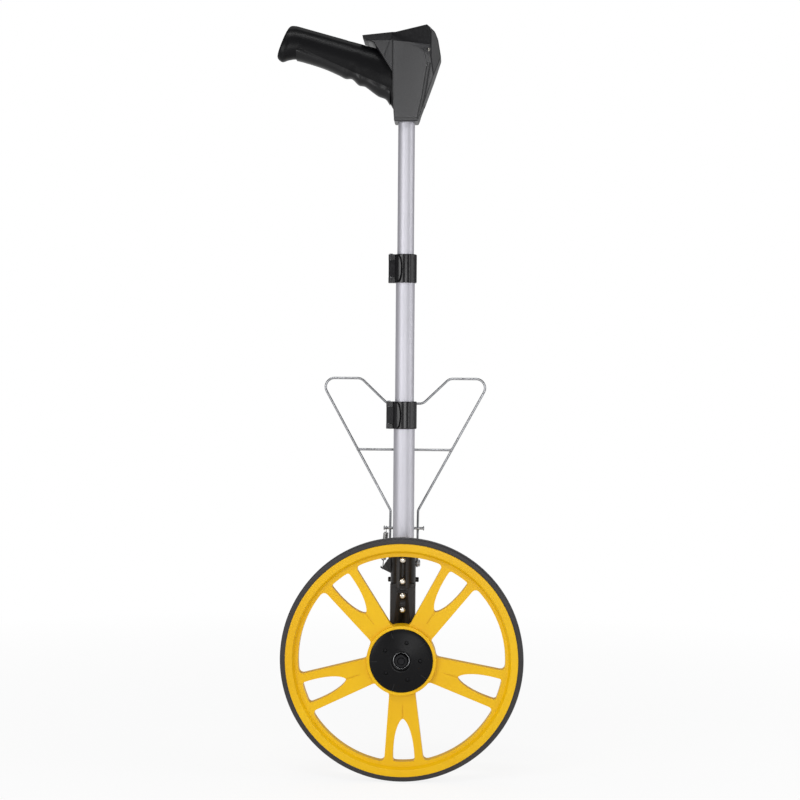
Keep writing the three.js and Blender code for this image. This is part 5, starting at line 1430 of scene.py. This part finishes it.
@dataclass
class Clamp:
    """A cam clamp: split collar with knuckles, a lever with a round-nosed plate, and a riveted pin."""

    name: str
    low: float
    high: float
    big: float
    small: float
    big_top: float
    body: str
    wall: float = 2.3
    reach: float = 4.1
    hinge_depth: float = -3.4
    knuckle: float = 3.5
    barrel: float = 3.2
    pin: float = 1.5
    pin_head: float = 2.4
    pin_head_thick: float = 0.8
    lever_half: float = 10.75
    nose_half: float = 17.2
    nose_start: float = -12.6
    nose_tip: float = -5.4
    plate: float = 2.5
    slit: float = 0.8
    lug_back: float = 6
    rib: float = 0.7
    rib_angles: tuple[float, ...] = (-65, -39.6, -14.4)
    edge: float = 0.8
    seat: float = 0.04

    def __post_init__(self) -> None:
        """Work out the places that follow from the sizes."""
        self.outer = self.big + self.wall
        self.hinge = (-self.outer - self.reach, self.hinge_depth)
        self.centre = (self.low + self.high) / 2

    def upright(self, radius: float, low: float, high: float, sides: int, edge: float = 0) -> Shape:
        """An upright round bar on the hinge's axis."""
        return Shape.rod(radius, low, high, Axis.Z, (*self.hinge, 0), sides, edge)

    def collar(self) -> None:
        """The collar, with ribs for grip, its slit, its lugs and the space for the lever."""
        low, high, outer, edge = self.low, self.high, self.outer, self.edge
        wide_bore, bore, step = self.big + FIT, self.small + FIT, self.big_top + FIT
        ease = edge * 0.3
        body = Shape.turned([(wide_bore, low), (outer - edge, low), (outer - ease, low + ease),
                             (outer, low + edge), (outer, high - edge), (outer - ease, high - ease),
                             (outer - edge, high), (bore, high), (bore, step), (wide_bore, step)], FINE)
        for degrees in self.rib_angles:
            angle = math.radians(degrees)
            at = (math.cos(angle) * (outer - self.rib), math.sin(angle) * (outer - self.rib), 0)
            body = body.join(Shape.rod(self.rib * 2, low + edge, high - edge, Axis.Z, at, COARSE, 0.5))
        (x, y), knuckle, seat, inside = self.hinge, self.knuckle, self.seat, -wide_bore - 0.9
        body = body.join(Shape.block((x, y - knuckle, low + seat), (inside, 0.13, high - seat)))
        rear = rounded(oblong(x - knuckle, 0.93, inside, self.lug_back), [0, 0, 0, knuckle], 8)
        body = body.join(Shape.slab(rear, low + seat * 2, high - seat * 2))
        body = body.join(self.upright(knuckle, low + seat * 3, high - seat * 3, MEDIUM, 0.4))
        centre, space, wide = self.centre, self.lever_half + RUNNING, outer + self.plate + RUNNING * 2
        body = body.cut(self.upright(knuckle + RUNNING * 2, centre - space, centre + space, MEDIUM))
        room = Shape.block((x - knuckle * 2, -wide, centre - space - 0.03),
                           (inside, 0.5, centre + space + 0.03))
        body = body.cut(room.cut(Shape.rod(outer + seat, centre - space * 2, centre + space * 2, sides=FINE)))
        slit = Shape.block((-outer * 3, -self.slit, low - PAST), (-bore / 2, self.slit, high + PAST))
        body = body.cut(slit)
        body = body.cut(self.upright(self.pin + FIT, low - PAST, high + PAST, COARSE))
        body.eased(0.3, 2, 50).piece(f"{self.name}_collar", self.body, GLOSS_BLACK_ABS,
                                     [f"{self.name}_clamp_collar"], smooth=35)

    def lever(self) -> None:
        """The lever, whose plate wraps round the collar and ends in a round nose."""
        inner = self.outer + self.rib + RUNNING
        outer = inner + self.plate
        (x, y), barrel, diagonal = self.hinge, self.barrel, math.sqrt(0.5)
        low, high = self.centre - self.lever_half, self.centre + self.lever_half
        link = Shape.slab([(x - barrel, y), (x - barrel, y - barrel), (-outer * diagonal, -outer * diagonal),
                           (-inner * diagonal, -inner * diagonal), (x + barrel, y)], low, high)
        swell = self.plate * 2
        nose = [(self.nose_start, self.centre - self.nose_half)]
        for k in range(-8, 9):
            angle = math.radians(67.5 * k / 8)
            nose.append((self.nose_tip - swell + swell * math.cos(angle),
                         self.centre + self.nose_half * math.sin(angle)))
        nose.append((self.nose_start, self.centre + self.nose_half))
        foot, top = self.low, self.high
        plate = Shape.rod(outer, foot, top, sides=FINE).common(Shape.slab(nose, -outer - PAST, 0, Axis.Y))
        body = plate.join(link).cut(Shape.rod(inner, foot - PAST, top + PAST, sides=FINE))
        body = body.cut(Shape.block((-inner, -self.slit - barrel, foot - 1), (outer, outer, top + 1)))
        body = body.join(self.upright(barrel, low, high, MEDIUM, 0.3))
        body = body.cut(self.upright(self.pin + FIT, foot, top, COARSE))
        body.eased(0.55, 3, 45).piece(f"{self.name}_lever_plate", f"{self.name}_lever", GLOSS_BLACK_ABS,
                                      [f"{self.name}_clamp_lever"], smooth=35)

    def hinge_pin(self) -> None:
        """The pin, with a domed head."""
        low, foot, pin, head = self.low, self.high + FIT, self.pin, self.pin_head
        top = foot + self.pin_head_thick
        profile = [(0, low), (pin - 0.3, low), (pin, low + 0.3), (pin, foot), (head, foot),
                   (head, foot + 0.3), (head * 0.7, top - 0.1), (0, top)]
        Shape.turned(profile, 32, Axis.Z, (*self.hinge, 0)).piece(
            f"{self.name}_hinge_pin", self.body, ZINC_WIRE, [f"{self.name}_clamp_pin"], smooth=35)

    def build(self) -> None:
        """Build the clamp."""
        self.collar()
        self.lever()
        self.hinge_pin()


@dataclass
class Handle:
    """The pistol handle: two moulded shells, soft finger grip, lid with display and keys, and front cover.

    The head is what three outlines share: its side, its plan and its taper from the front. The grip is a
    skin over rounded sections that run from its rear end into the head.
    """

    foot: float = 704
    height: float = 124
    rear: float = -58.3
    front: float = 45
    plan_rear: float = 20
    plan_middle: float = 33
    plan_front: float = 29.4
    nose_start: float = 32.2
    nose_half: float = 17
    base_half: float = 19
    lid_top_share: float = 0.9
    seam_share: float = 0.383
    lid_seam_share: float = 0.87
    wall: float = 2.6
    soft_edge: float = 1.7
    shell_edge: float = 0.45
    cover_edge: float = 0.4
    sharp: float = 50
    overlap: float = 0.02
    column: float = 14.2
    groove: float = 2.1
    groove_depth: float = 1.7
    groove_top_share: float = 0.84
    cover_groove: float = 1.3
    # How thick the dark strip is that paints the shadow in the grooves.
    strip: float = 1.3
    rib_start: float = 3.1
    rib_end: float = 5.3
    lip: float = 3.6
    lip_groove: float = 0.9
    grip_front: float = -8
    grip_length: float = 164.2
    grip_rise: float = 129
    grip_half: float = 17.5
    grip_round: float = 2.35
    grip_end: float = 4.5
    insert: float = 3
    proud: float = 2.0
    proud_edge: float = 5.2
    tube_radius: float = 11
    socket_top: float = 752
    cover_screw: tuple[float, float] = (28.3, 795.5)
    cover_screw_seat: float = 4.92
    screw_hole: float = 1.5
    sink: float = 3.0
    shell_sink: float = 2.9
    body: str = "handle"
    side_shares: Flat = ((0.41, 0), (0.712, 0), (1, 0.677), (0.963, 0.852), (0.922, 0.932), (0.82, 1),
                         (0.425, 0.916), (0, 0.903), (0.012, 0.862), (0.138, 0.83), (0.383, 0.516),
                         (0.383, 0.33))
    lid_line_shares: Flat = ((-0.2, 0.862), (0.37, 0.834), (0.825, 0.797), (0.87, 0.794))
    cover_line_shares: Flat = ((0.87, 0.787), (0.779, 0.745), (0.825, 0.602), (0.763, 0.281), (0.698, 0.024))
    grip_line_shares: Flat = ((0.16, 0.765), (0.875, 0.363))
    grip_line_end_share: float = 0.915
    grip_shares: Sequence[Sequence[float]] = (
        (0.075, 0.895, 0.026, 0.712, 0.72), (0.106, 0.978, 0.004, 0.668, 0.9), (0.152, 0.987, 0.04, 0.624, 1),
        (0.207, 0.97, 0.093, 0.642, 0.97), (0.27, 0.948, 0.16, 0.65, 0.94), (0.367, 0.914, 0.27, 0.615, 0.95),
        (0.476, 0.875, 0.392, 0.564, 0.98), (0.585, 0.836, 0.501, 0.503, 1), (0.635, 0.818, 0.556, 0.468, 1),
        (0.685, 0.801, 0.61, 0.463, 1), (0.737, 0.782, 0.663, 0.402, 1), (0.79, 0.764, 0.716, 0.385, 1),
        (0.845, 0.744, 0.78, 0.325, 1), (0.89, 0.728, 0.825, 0.286, 0.99), (0.935, 0.712, 0.878, 0.26, 0.97),
        (0.97, 0.7, 0.906, 0.215, 0.94), (1, 0.69, 0.942, 0.138, 0.9))

    def at(self, shares: Sequence[float]) -> tuple[float, float]:
        """A place in the head's side view from its shares of the length and height."""
        return (self.rear + shares[0] * (self.front - self.rear), self.foot + shares[1] * self.height)

    def on_grip(self, x_share: float, z_share: float) -> Vector:
        """A place in the grip's side view from its shares of the length and rise."""
        x = self.grip_front + (x_share - 1) * self.grip_length
        return Vector((x, self.foot + z_share * self.grip_rise))

    def head(self, wall: float = 0) -> Shape:
        """The head, drawn in by a wall.

        Args:
            wall: How far inside the outer skin this shape lies.

        Returns:
            The closed shape.
        """
        side = [self.at(shares) for shares in self.side_shares]
        seam, top = self.at((self.seam_share, 0))[0], self.foot + self.height
        half = [(self.rear - 1, self.plan_rear), (seam, self.plan_middle), (self.nose_start, self.plan_front),
                (self.front + 1, self.nose_half)]
        plan = [(x, -y) for x, y in half] + [(x, y) for x, y in reversed(half)]
        lid = self.foot + self.height * self.lid_top_share
        rise = [(-self.base_half, self.foot - 1), (self.base_half, self.foot - 1), (self.plan_middle, lid),
                (self.plan_middle, top + 1), (-self.plan_middle, top + 1), (-self.plan_middle, lid)]
        wide = self.plan_middle * 2
        shape = Shape.slab(drawn_in(side, wall), -wide, wide, Axis.Y)
        shape = shape.common(Shape.slab(drawn_in(plan, wall), self.foot - PAST, top + PAST))
        shape = shape.common(Shape.slab(drawn_in(rise, wall), self.rear - PAST, self.front + PAST, Axis.X))
        return shape if wall else shape.eased(self.soft_edge, 3, 14)

    def sideways(self, outline: Flat, wide: float = 66) -> Shape:
        """An outline of the side view, drawn out to both sides past the head."""
        return Shape.slab(outline, -wide, wide, Axis.Y)

    def grip(self, wall: float = 0, sides: int = 48, steps: int = 5, swollen: bool = False) -> Shape:
        """The grip, drawn in by a wall, with a rounded end.

        Args:
            wall: How far inside the outer skin this shape lies.
            sides: How many flats a section has.
            steps: How many sections lie between two of the drawn ones.
            swollen: Whether it swells below the line where the soft insert starts.

        Returns:
            The closed shape.
        """
        stations = smoothed(self.grip_shares, steps)
        stations = smoothed(stations[:2], 4)[:-1] + stations[1:]
        rings: list[list[Vector]] = []
        depth, last = 0.0, None
        for top_x, top_z, under_x, under_z, width in stations:
            top, under = self.on_grip(top_x, top_z), self.on_grip(under_x, under_z)
            centre, half = (top + under) / 2, (top - under).length / 2 - wall
            depth += (centre - last).length if last else 0
            last = centre
            if depth < wall:
                continue
            near = max(self.grip_end - max(depth - wall, 0), 0)
            drawn = self.grip_end - math.sqrt(self.grip_end ** 2 - near ** 2)
            rings.append(self.section(centre, (top - under).normalized(), half - drawn,
                                      self.grip_half * width - wall - drawn, sides))
        if swollen:
            middles = [sum(ring, Vector()) / sides for ring in rings]
            rings = [[self.pushed(point, middle) for point in ring] for ring, middle in zip(rings, middles)]
        return Shape.skin(rings)

    def pushed(self, point: Vector, middle: Vector) -> Vector:
        """A point of the grip, pushed out where it lies below the soft insert's line.

        Args:
            point: The point.
            middle: The middle of its section.

        Returns:
            The moved point.
        """
        start, end = [self.on_grip(*shares) for shares in self.grip_line_shares]
        line = start.y + (point.x - start.x) * (end.y - start.y) / (end.x - start.x)
        share = min(max((line - point.z) / self.proud_edge, 0), 1)
        return point + (point - middle).normalized() * (self.proud * share * share * (3 - 2 * share))

    def section(self, centre: Vector, up: Vector, half: float, across: float, sides: int) -> list[Vector]:
        """One rounded section of the grip.

        Args:
            centre: Its middle in the side view.
            up: The direction of its height in the side view.
            half: Half its height.
            across: Half its width.
            sides: How many flats it has.

        Returns:
            Its points.
        """
        ring = []
        for j in range(sides):
            angle = (j + 0.5) * FULL_TURN / sides
            rise, wide = [math.copysign(abs(v) ** (2 / self.grip_round), v)
                          for v in (math.cos(angle), math.sin(angle))]
            ring.append(Vector((centre.x + up.x * rise * half, across * wide, centre.y + up.y * rise * half)))
        return ring

    def insert_region(self, gap: float) -> Shape:
        """Everything below the line where the soft insert starts, moved down by a gap.

        Args:
            gap: How far it is moved down, and in at its ends.

        Returns:
            The region.
        """
        start, end = [self.on_grip(*shares) for shares in self.grip_line_shares]
        last = self.on_grip(self.grip_line_end_share, 0)
        low = start.y - self.grip_rise
        corner = rounded([(start.x + gap, low), (last.x - gap, low),
                          (last.x - gap, end.y - (last.x - end.x) / 2 - gap), (end.x, end.y - gap),
                          (start.x + gap, start.y - gap)], [0, 0, 2, 12, 4], 5)
        return self.sideways(corner, self.plan_middle)

    def lid_region(self, gap: float) -> Shape:
        """Everything above the line under the lid and behind its front seam, grown by a gap.

        Args:
            gap: How far it is grown.

        Returns:
            The region.
        """
        line = [(x, z - gap) for x, z in map(self.at, self.lid_line_shares)]
        seam = self.at((self.lid_seam_share, 0))[0] + gap
        high = self.foot + self.height * 1.1
        return self.sideways(line[:-1] + [(seam, line[-1][1]), (seam, high), (line[0][0], high)])

    def cover_region(self, gap: float) -> Shape:
        """Everything in front of the line behind the cover, grown by a gap.

        Args:
            gap: How far it is grown.

        Returns:
            The region.
        """
        line = [(x - gap, z) for x, z in map(self.at, self.cover_line_shares)]
        high, right = self.foot + self.height * 1.1, self.front + 10
        return self.sideways([(line[0][0], high)] + line + [(right, line[-1][1] - gap), (right, high)])

    def scratched(self, *bands: Flat) -> Shape:
        """Bands of the side view that cut shallow grooves into the head's skin."""
        return Shape.gathered([self.sideways(band) for band in bands]).cut(self.head(self.groove_depth))

    def cover_band(self, near: float, far: float) -> list[tuple[float, float]]:
        """The outline of a band beside the cover's rear line, between two distances in front of it."""
        line = [Vector(self.at(shares)) for shares in self.cover_line_shares[2:]]
        return [(p.x + near, p.y) for p in line] + [(p.x + far, p.y) for p in reversed(line)]

    def cover_grooves(self) -> Shape:
        """The two grooves beside the cover's rib."""
        rear, front = self.cover_band(-FIT, self.cover_groove), self.cover_band(self.rib_start, self.rib_end)
        return self.scratched(rear, front)

    def upright_band(self, low: float, gap: float) -> list[tuple[float, float]]:
        """The outline of the upright groove from a given height, drawn in by a gap at both sides.

        Args:
            low: Where it starts.
            gap: How far it is drawn in.

        Returns:
            The outline.
        """
        rear, high = self.at((self.seam_share, 0))[0] - 0.2, self.at((0, self.groove_top_share))[1]
        front = rear + self.groove
        return oblong(rear + gap, low, front - gap, high - gap)

    def painted_shade_strips(self) -> None:
        """Smooth dark strip sunk under the skin in the upright groove and in the cover's: a painted shadow
        that darkens both grooves.
        """
        slack = 0.05
        bands = [self.upright_band(self.foot + self.lip + 2, slack),
                 self.cover_band(self.rib_start + slack, self.rib_end - slack)]
        shade_strips = Shape.gathered([self.sideways(band, 60) for band in bands])
        depth = self.groove_depth
        shade_strips = shade_strips.common(self.head(depth - self.strip)).cut(self.head(depth + 0.2))
        # This piece is a painted shadow: a dark strip sunk in the grooves where only shade would be.
        shade_strips.piece("head_groove_painted_shade", self.body, SMOOTH_SHADED_BLACK_ABS, slot="black", smooth=32)

    def shell_grooves(self) -> Shape:
        """The upright groove at the rear of the side panel, and the one over the lip at the foot.

        Returns:
            What is cut out.
        """
        rear, front, low = self.at((self.seam_share, 0))[0] - 20, self.front + PAST, self.foot + self.lip
        across = oblong(rear, low, front, low + self.lip_groove)
        return self.scratched(self.upright_band(self.foot - PAST, 0)).join(self.scratched(across))

    def cover_screw_hole(self) -> Shape:
        """The hole across the head for the cover's two screws."""
        x, z = self.cover_screw
        return Shape.rod(self.screw_hole, -self.plan_middle * 2, self.plan_middle * 2, Axis.Y, (x, 0, z))

    def shells(self) -> None:
        """The two shells, with the socket for the tube and the holes for the screws."""
        grip = self.grip().cut(self.insert_region(0)).join(self.grip(self.insert + FIT))
        outside = self.head().cut(self.shell_grooves()).cut(self.cover_region(FIT / 2)).join(grip)
        hollow = self.head(self.wall).join(self.grip(self.insert + self.wall))
        column = Shape.rod(self.column, self.foot, self.socket_top + 2)
        column = column.common(self.head(0.05)).cut(self.cover_region(FIT))
        bore = Shape.rod(self.tube_radius + FIT, self.foot - PAST, self.socket_top + FIT)
        whole = outside.cut(hollow).join(column).cut(bore)
        whole = whole.cut(self.lid_region(FIT)).cut(self.cover_screw_hole())
        for name, low, high in (("right", -70, -FIT / 2), ("left", FIT / 2, 70)):
            half = whole.copy().common(Shape.block((-190, low, self.foot - 10), (60, high, self.foot + 150)))
            if name == "left":
                half = half.cut(*self.shell_screw_holes())
            grip = half.copy().cut(self.head(-self.overlap)).eased(self.shell_edge, 2, self.sharp)
            # The grip half takes the darker copy of the black resin, a painted shade.
            grip.piece(f"shell_{name}_grip", self.body, SMOOTH_SHADED_BLACK_ABS, slot="black", smooth=32)
            head = half.common(self.head(-self.overlap)).eased(self.shell_edge, 2, self.sharp)
            head.piece(f"shell_{name}_head", self.body, BLACK_ABS, [f"handle_shell_{name}"], smooth=32)

    def shell_screw_holes(self) -> list[Shape]:
        """The sunk holes of the screws that hold the shells together."""
        places = [self.on_grip(*shares) for shares in ((0.13, 0.86), (0.6, 0.66))]
        return [Shape.rod(self.shell_sink, self.grip_half - 4.8, 60, Axis.Y, (place.x, 0, place.y))
                for place in places]

    def soft_insert(self) -> None:
        """The soft insert: proud of the shells, with a broad rounded shoulder and pressed finger ridges."""
        outer = self.grip(0, 96, 6, swollen=True).common(self.insert_region(FIT / 2))
        body = outer.cut(self.head(-FIT)).cut(self.grip(self.insert))
        body.piece("soft_insert", self.body, SOFT_GRIP, ["finger_grip"], smooth=45)

    def cover(self) -> None:
        """The front cover with its rib, grooves and sunk screws."""
        skin = self.head().cut(self.head(self.wall))
        (x, z), hole = self.cover_screw, self.cover_screw_hole()
        wide, seat = self.plan_middle * 2, self.plan_middle - self.cover_screw_seat
        sinks = [Shape.rod(self.sink, low, high, Axis.Y, (x, 0, z))
                 for low, high in ((-wide, -seat), (seat, wide))]
        shape = skin.common(self.cover_region(-FIT / 2)).cut(self.lid_region(FIT / 2)).cut(hole).cut(*sinks)
        shape = shape.cut(self.cover_grooves()).eased(self.cover_edge, 2, self.sharp)
        shape.piece("cover_front", self.body, BLACK_ABS, ["front_cover"], smooth=32)

    def build(self) -> None:
        """Build the handle's shells, insert and cover."""
        self.shells()
        # The dark strip in the grooves paints their shadow.
        self.painted_shade_strips()
        self.soft_insert()
        self.cover()


@dataclass
class Arm:
    """The arm that carries the axle: a moulded housing with a round socket for the tube, and its screws."""

    half: float = 16.5
    foot: float = 19
    foot_round: float = 14.5
    front: float = -14
    back: float = 12
    cover: float = 2
    wall: float = 2.5
    edge: float = 1.3
    seam: float = 90.9
    seam_rise: float = 6
    seam_sag: float = 3.4
    seam_wide: float = 0.9
    top: float = 150
    floor: float = 4
    pocket: float = 16
    tube_radius: float = 14
    tube_foot: float = 95
    cable: float = 5
    clear: float = 4
    screw_heights: tuple[float, ...] = (128.3, 100.1, 80.7, 61.9)
    screw_turns: tuple[float, ...] = (20, -34, 8, 49)
    screw_head: float = 3.75
    screw_rise: float = 2.2
    screw_shank: float = 1.9
    screw_sink: float = 0.8
    dimple_heights: tuple[float, ...] = (90, 71.3)
    dimple: tuple[float, float] = (4, 2.2)
    slot: tuple[float, float, float] = (107, 123.5, 1.1)
    pivot: tuple[float, float, float] = (8, 121.6, 2.15)
    stop: tuple[float, float, float, float] = (14, 99, 3.3, 20.5)
    axle: float = 5.3
    axle_head: float = 9.3
    axle_head_depth: float = 6
    hook: Flat = ((-15, 108.5), (-15, 132), (-16.5, 132), (-24.4, 121.8), (-27, 116.9), (-28.3, 116.9),
                  (-29.6, 119), (-30.3, 116.3), (-28.3, 115))
    hook_half: float = 2.2
    body: str = "lower"

    def forward(self, radius: float, low: float, high: float, height: float, sides: int) -> Shape:
        """A round bar along Y at a height."""
        return Shape.rod(radius, low, high, Axis.Y, (0, 0, height), sides)

    def outside(self) -> Shape:
        """The housing's outer form: flat lower part, round socket, hook and the stand's two stops.

        Returns:
            The solid form.
        """
        half, seam, rise = self.half, self.seam, self.seam_rise
        corners = oblong(-half, -self.foot, half, seam + rise)
        outline = rounded(corners, [self.foot_round, self.foot_round, 0, 0], 16)
        flat = Shape.slab(outline, self.front, self.back, Axis.Y).eased(self.edge, 3, 50)
        socket = Shape.rod(half - 0.02, seam - rise, self.top, sides=FINE, edge=0.8)
        rear = rounded(oblong(-half, 0, half, half), [0, 0, 2, 2], 5)
        socket = socket.join(Shape.slab(rear, seam + 0.1, self.top - 0.05))
        slope = [(-half * 2, seam - rise * 2), (self.front + 0.05, seam - rise * 2),
                 (self.front + 0.05, seam - rise), (-half, seam + rise / 2), (-half * 2, seam + rise / 2)]
        socket = socket.cut(Shape.slab(slope, -half * 2, half * 2, Axis.X))
        y, z, radius, reach = self.stop
        stops = Shape.rod(radius, -reach, reach, Axis.X, (0, y, z), MEDIUM, 0.7)
        stops = stops.cut(Shape.rod(self.tube_radius + FIT, z - radius * 2, z + radius * 2, sides=FINE))
        fin = Shape.slab(rounded(self.hook, [0, 0, 0, 1.5, 0.8, 0.6, 0.4, 0.4, 1.2], 4),
                         -self.hook_half, self.hook_half, Axis.Y).eased(0.5, 2, 40)
        return flat.join(socket).join(stops).join(fin)

    def seam_band(self) -> Shape:
        """The sagging groove where the round socket meets the flat part.

        Returns:
            What is cut out.
        """
        steps = 12
        xs = [self.half * 1.1 * (k / steps * 2 - 1) for k in range(steps + 1)]
        low = [(x, self.seam + self.seam_rise / 3 - self.seam_sag * (1 - (x / self.half) ** 2)) for x in xs]
        band = low + [(x, z + self.seam_wide) for x, z in reversed(low)]
        inner = self.half - self.seam_wide
        core = Shape.rod(inner, 0, self.top, sides=FINE).join(
            Shape.block((-inner, self.front + self.seam_wide, 1), (inner, 10, self.top - 1)))
        return Shape.slab(band, -self.half * 1.2, -2, Axis.Y).cut(core)

    def seat(self, height: float) -> float:
        """The place along Y of the face under a screw's head."""
        face = -self.half if height > self.seam + self.seam_rise else self.front
        return face + self.screw_sink

    def housing(self) -> None:
        """The housing, hollowed and with every hole."""
        half, bottom, front, back = self.half, self.tube_foot, self.front, self.back
        clear = self.clear
        bore = Shape.rod(self.tube_radius + FIT, bottom - FIT, self.top + clear, sides=FINE)
        pocket = Shape.block((-half + self.wall, front + self.wall, self.pocket),
                             (half - self.wall, back + clear, bottom - self.floor))
        cable = Shape.rod(self.cable, bottom - self.floor - clear, bottom, sides=MEDIUM)
        bosses = [self.forward(self.screw_head, front + self.wall / 2, back - self.cover * 2, z, MEDIUM)
                  for z in self.screw_heights[2:]]
        holes = []
        for z in self.screw_heights:
            holes.append(self.forward(self.screw_head + FIT, -half - clear, self.seat(z), z, MEDIUM))
            deep = back if z in self.screw_heights[2:] else 0
            holes.append(self.forward(self.screw_shank + FIT, -half - PAST, deep, z, COARSE))
        y, z, radius = self.pivot
        holes.append(Shape.rod(radius, -half - clear, half + clear, Axis.X, (0, y, z), COARSE))
        holes.append(self.forward(self.axle, front - clear, back + clear, 0, MEDIUM))
        holes.append(self.forward(self.axle_head, back - self.axle_head_depth, back + PAST, 0, 48))
        across, tall = self.dimple
        dimples = [Shape.block((-across, -half - clear, z - tall),
                               (across, front + 1, z + tall)).eased(0.9, 2) for z in self.dimple_heights]
        low, high, wide = self.slot
        slit = Shape.slab(rounded(oblong(-wide, low, wide, high), [wide * 0.95] * 4, 5),
                          -half - clear, -self.tube_radius - FIT - 0.8, Axis.Y)
        lap = self.wall / 2
        seat = Shape.block((-half + lap, back - self.cover, self.pocket - self.wall),
                           (half - lap, back + 6, bottom - self.floor + lap))
        whole = self.outside().cut(bore, pocket, cable).join(*bosses).cut(*holes)
        whole = whole.cut(*dimples, slit, seat, self.seam_band())
        whole.piece("arm_moulding", self.body, ARM_NYLON, ["arm_housing"], smooth=34)

    def screws(self) -> None:
        """Four pan-head screws with a cross recess, each turned as it happened to stop."""
        head, rise, shank = self.screw_head, self.screw_rise, self.screw_shank
        for i, (z, turn) in enumerate(zip(self.screw_heights, self.screw_turns)):
            seat = self.seat(z) - FIT
            end = -self.tube_radius + head if i < 2 else self.back - self.cover * 3
            depth = end - seat
            profile = [(0, -depth), (shank - 0.4, -depth), (shank, 0.5 - depth), (shank, 0), (head - 0.1, 0),
                       (head, 0.15), (head, 0.7), (head * 0.95, 1.1), (head * 0.82, 1.55), (head * 0.6, 1.9),
                       (head * 0.3, rise - 0.07), (0, rise)]
            screw = Shape.turned(profile, 48).cut(*cross_recess(2.1, 0.42, rise - 1.3, rise + 2, Axis.Z))
            place = Matrix.Translation((0, seat, z)) @ Axis.WHEEL.value
            screw.moved(place @ Matrix.Rotation(math.radians(turn), 4, "Z")).piece(
                f"arm_screw_{i + 1}_dressed", self.body, NICKEL, [f"arm_screw_{i + 1}"], smooth=35)

    def build(self) -> None:
        """Build the arm's housing and screws."""
        self.housing()
        self.screws()


@dataclass
class Axle:
    """The axle: a hexagon bolt with a shoulder and a rolled thread, and its flange nut."""

    radius: float = 5
    shoulder: tuple[float, float, float] = (7.5, -18.7, -14.3)
    head: tuple[float, float, float] = (9, 6.3, 11.7)
    tip: float = -49
    thread: float = 13
    pitch: float = 1.5
    depth: float = 0.55
    nut: tuple[float, float, float] = (9.2, -48, -42)
    flange: tuple[float, float] = (10, -40.6)
    body: str = "lower"

    def hexagon(self, radius: float, low: float, high: float, crown: float) -> Shape:
        """A hexagon with the corners of one end turned down.

        Args:
            radius: From the axis to a corner.
            low: Where it starts along the axle.
            high: Where it ends.
            crown: The end that is turned down.

        Returns:
            The shape.
        """
        turns = [i * FULL_TURN / 6 for i in range(6)]
        points = [(radius * math.cos(turn), radius * math.sin(turn)) for turn in turns]
        other = high if crown == low else low
        inwards = math.copysign(1, other - crown)
        cone = [(0, crown), (radius * 0.84, crown), (radius * 1.02, crown + inwards * radius * 0.1),
                (radius * 1.02, other + inwards), (0, other + inwards)]
        cone = cone if crown < other else cone[::-1]
        return Shape.slab(points, low, high, Axis.Y).common(Shape.turned(cone, 64, Axis.Y))

    def bolt(self) -> None:
        """The bolt, with its head at the back and its thread at the front."""
        radius, (wide, start, end), (corner, low, high) = self.radius, self.shoulder, self.head
        profile = [(0, self.tip), (radius - 0.9, self.tip), (radius - 0.2, self.tip + 0.6)]
        place = self.tip + 1
        while place < self.tip + self.thread:
            profile += [(radius, place), (radius - self.depth, place + self.pitch / 2)]
            place += self.pitch
        profile += [(radius, place), (radius, start), (wide - 0.3, start), (wide, start + 0.3), (wide, end),
                    (radius, end), (radius, low + 1), (0, low + 1)]
        shank = Shape.turned(profile, MEDIUM, Axis.Y)
        shank.join(self.hexagon(corner, low, high, high)).piece(
            "axle_bolt_turned", self.body, BLACK_OXIDE, ["axle_bolt"], smooth=28)

    def flange_nut(self) -> None:
        """The nut in the well of the hub cap."""
        corner, front, back = self.nut
        wide, rear = self.flange
        base = Shape.turned([(0, front + 3), (corner * 0.9, front + 3), (corner * 0.9, back - 0.4),
                             (wide - 0.6, back + 0.1), (wide, back + 0.5), (wide, rear - 0.2),
                             (wide - 0.2, rear), (0, rear)], 64, Axis.Y)
        nut = base.join(self.hexagon(corner, front, back + 0.5, front))
        nut = nut.cut(Shape.rod(self.radius + FIT / 2, front - PAST, rear + PAST, Axis.Y, sides=MEDIUM))
        nut.piece("axle_nut_turned", self.body, BLACK_OXIDE, ["axle_nut"], smooth=28)

    def build(self) -> None:
        """Build the bolt and the nut."""
        self.bolt()
        self.flange_nut()


def dress_rest() -> None:
    """Give every solid that no piece stands for its own finish."""
    finishes = {"black": BLACK_ABS, "soft": SOFT_GRIP, "tube": ANODISED_TUBE, "steel": ZINC_WIRE,
                "nickel": NICKEL, "board": CIRCUIT_LAMINATE, "lens": ACRYLIC, "display": CRYSTAL_PANEL,
                "key": SILICONE_KEY, "cell": CELL_SLEEVE, "tyre": TYRE_RUBBER, "yellow": YELLOW_ABS}
    # The lid takes the darker copy of the black resin, a painted shade.
    special = {"top_bezel": SMOOTH_SHADED_BLACK_ABS}
    for name, solid in sorted(frame["nodes"].items()):
        if not solid.hide_render:
            refined(name, special.get(name, finishes[slot_of(name)]))


def main() -> None:
    """Build the wheel's parts in order, then the studio."""
    logging.basicConfig(level=logging.INFO, format="%(message)s")
    clamps = (Clamp("upper", 493.1, 530.9, 12.5, 11, 520, "middle"),
              Clamp("lower", 300.5, 336.7, 14, 12.5, 326, "lower"))
    for part in (Wheel(), Stand(), Tubes(), *clamps, Arm(), Axle(), Handle()):
        part.build()
        log.info("%s is built", type(part).__name__)
    dress_rest()
    Studio().build()


if __name__ == "__main__":
    main()
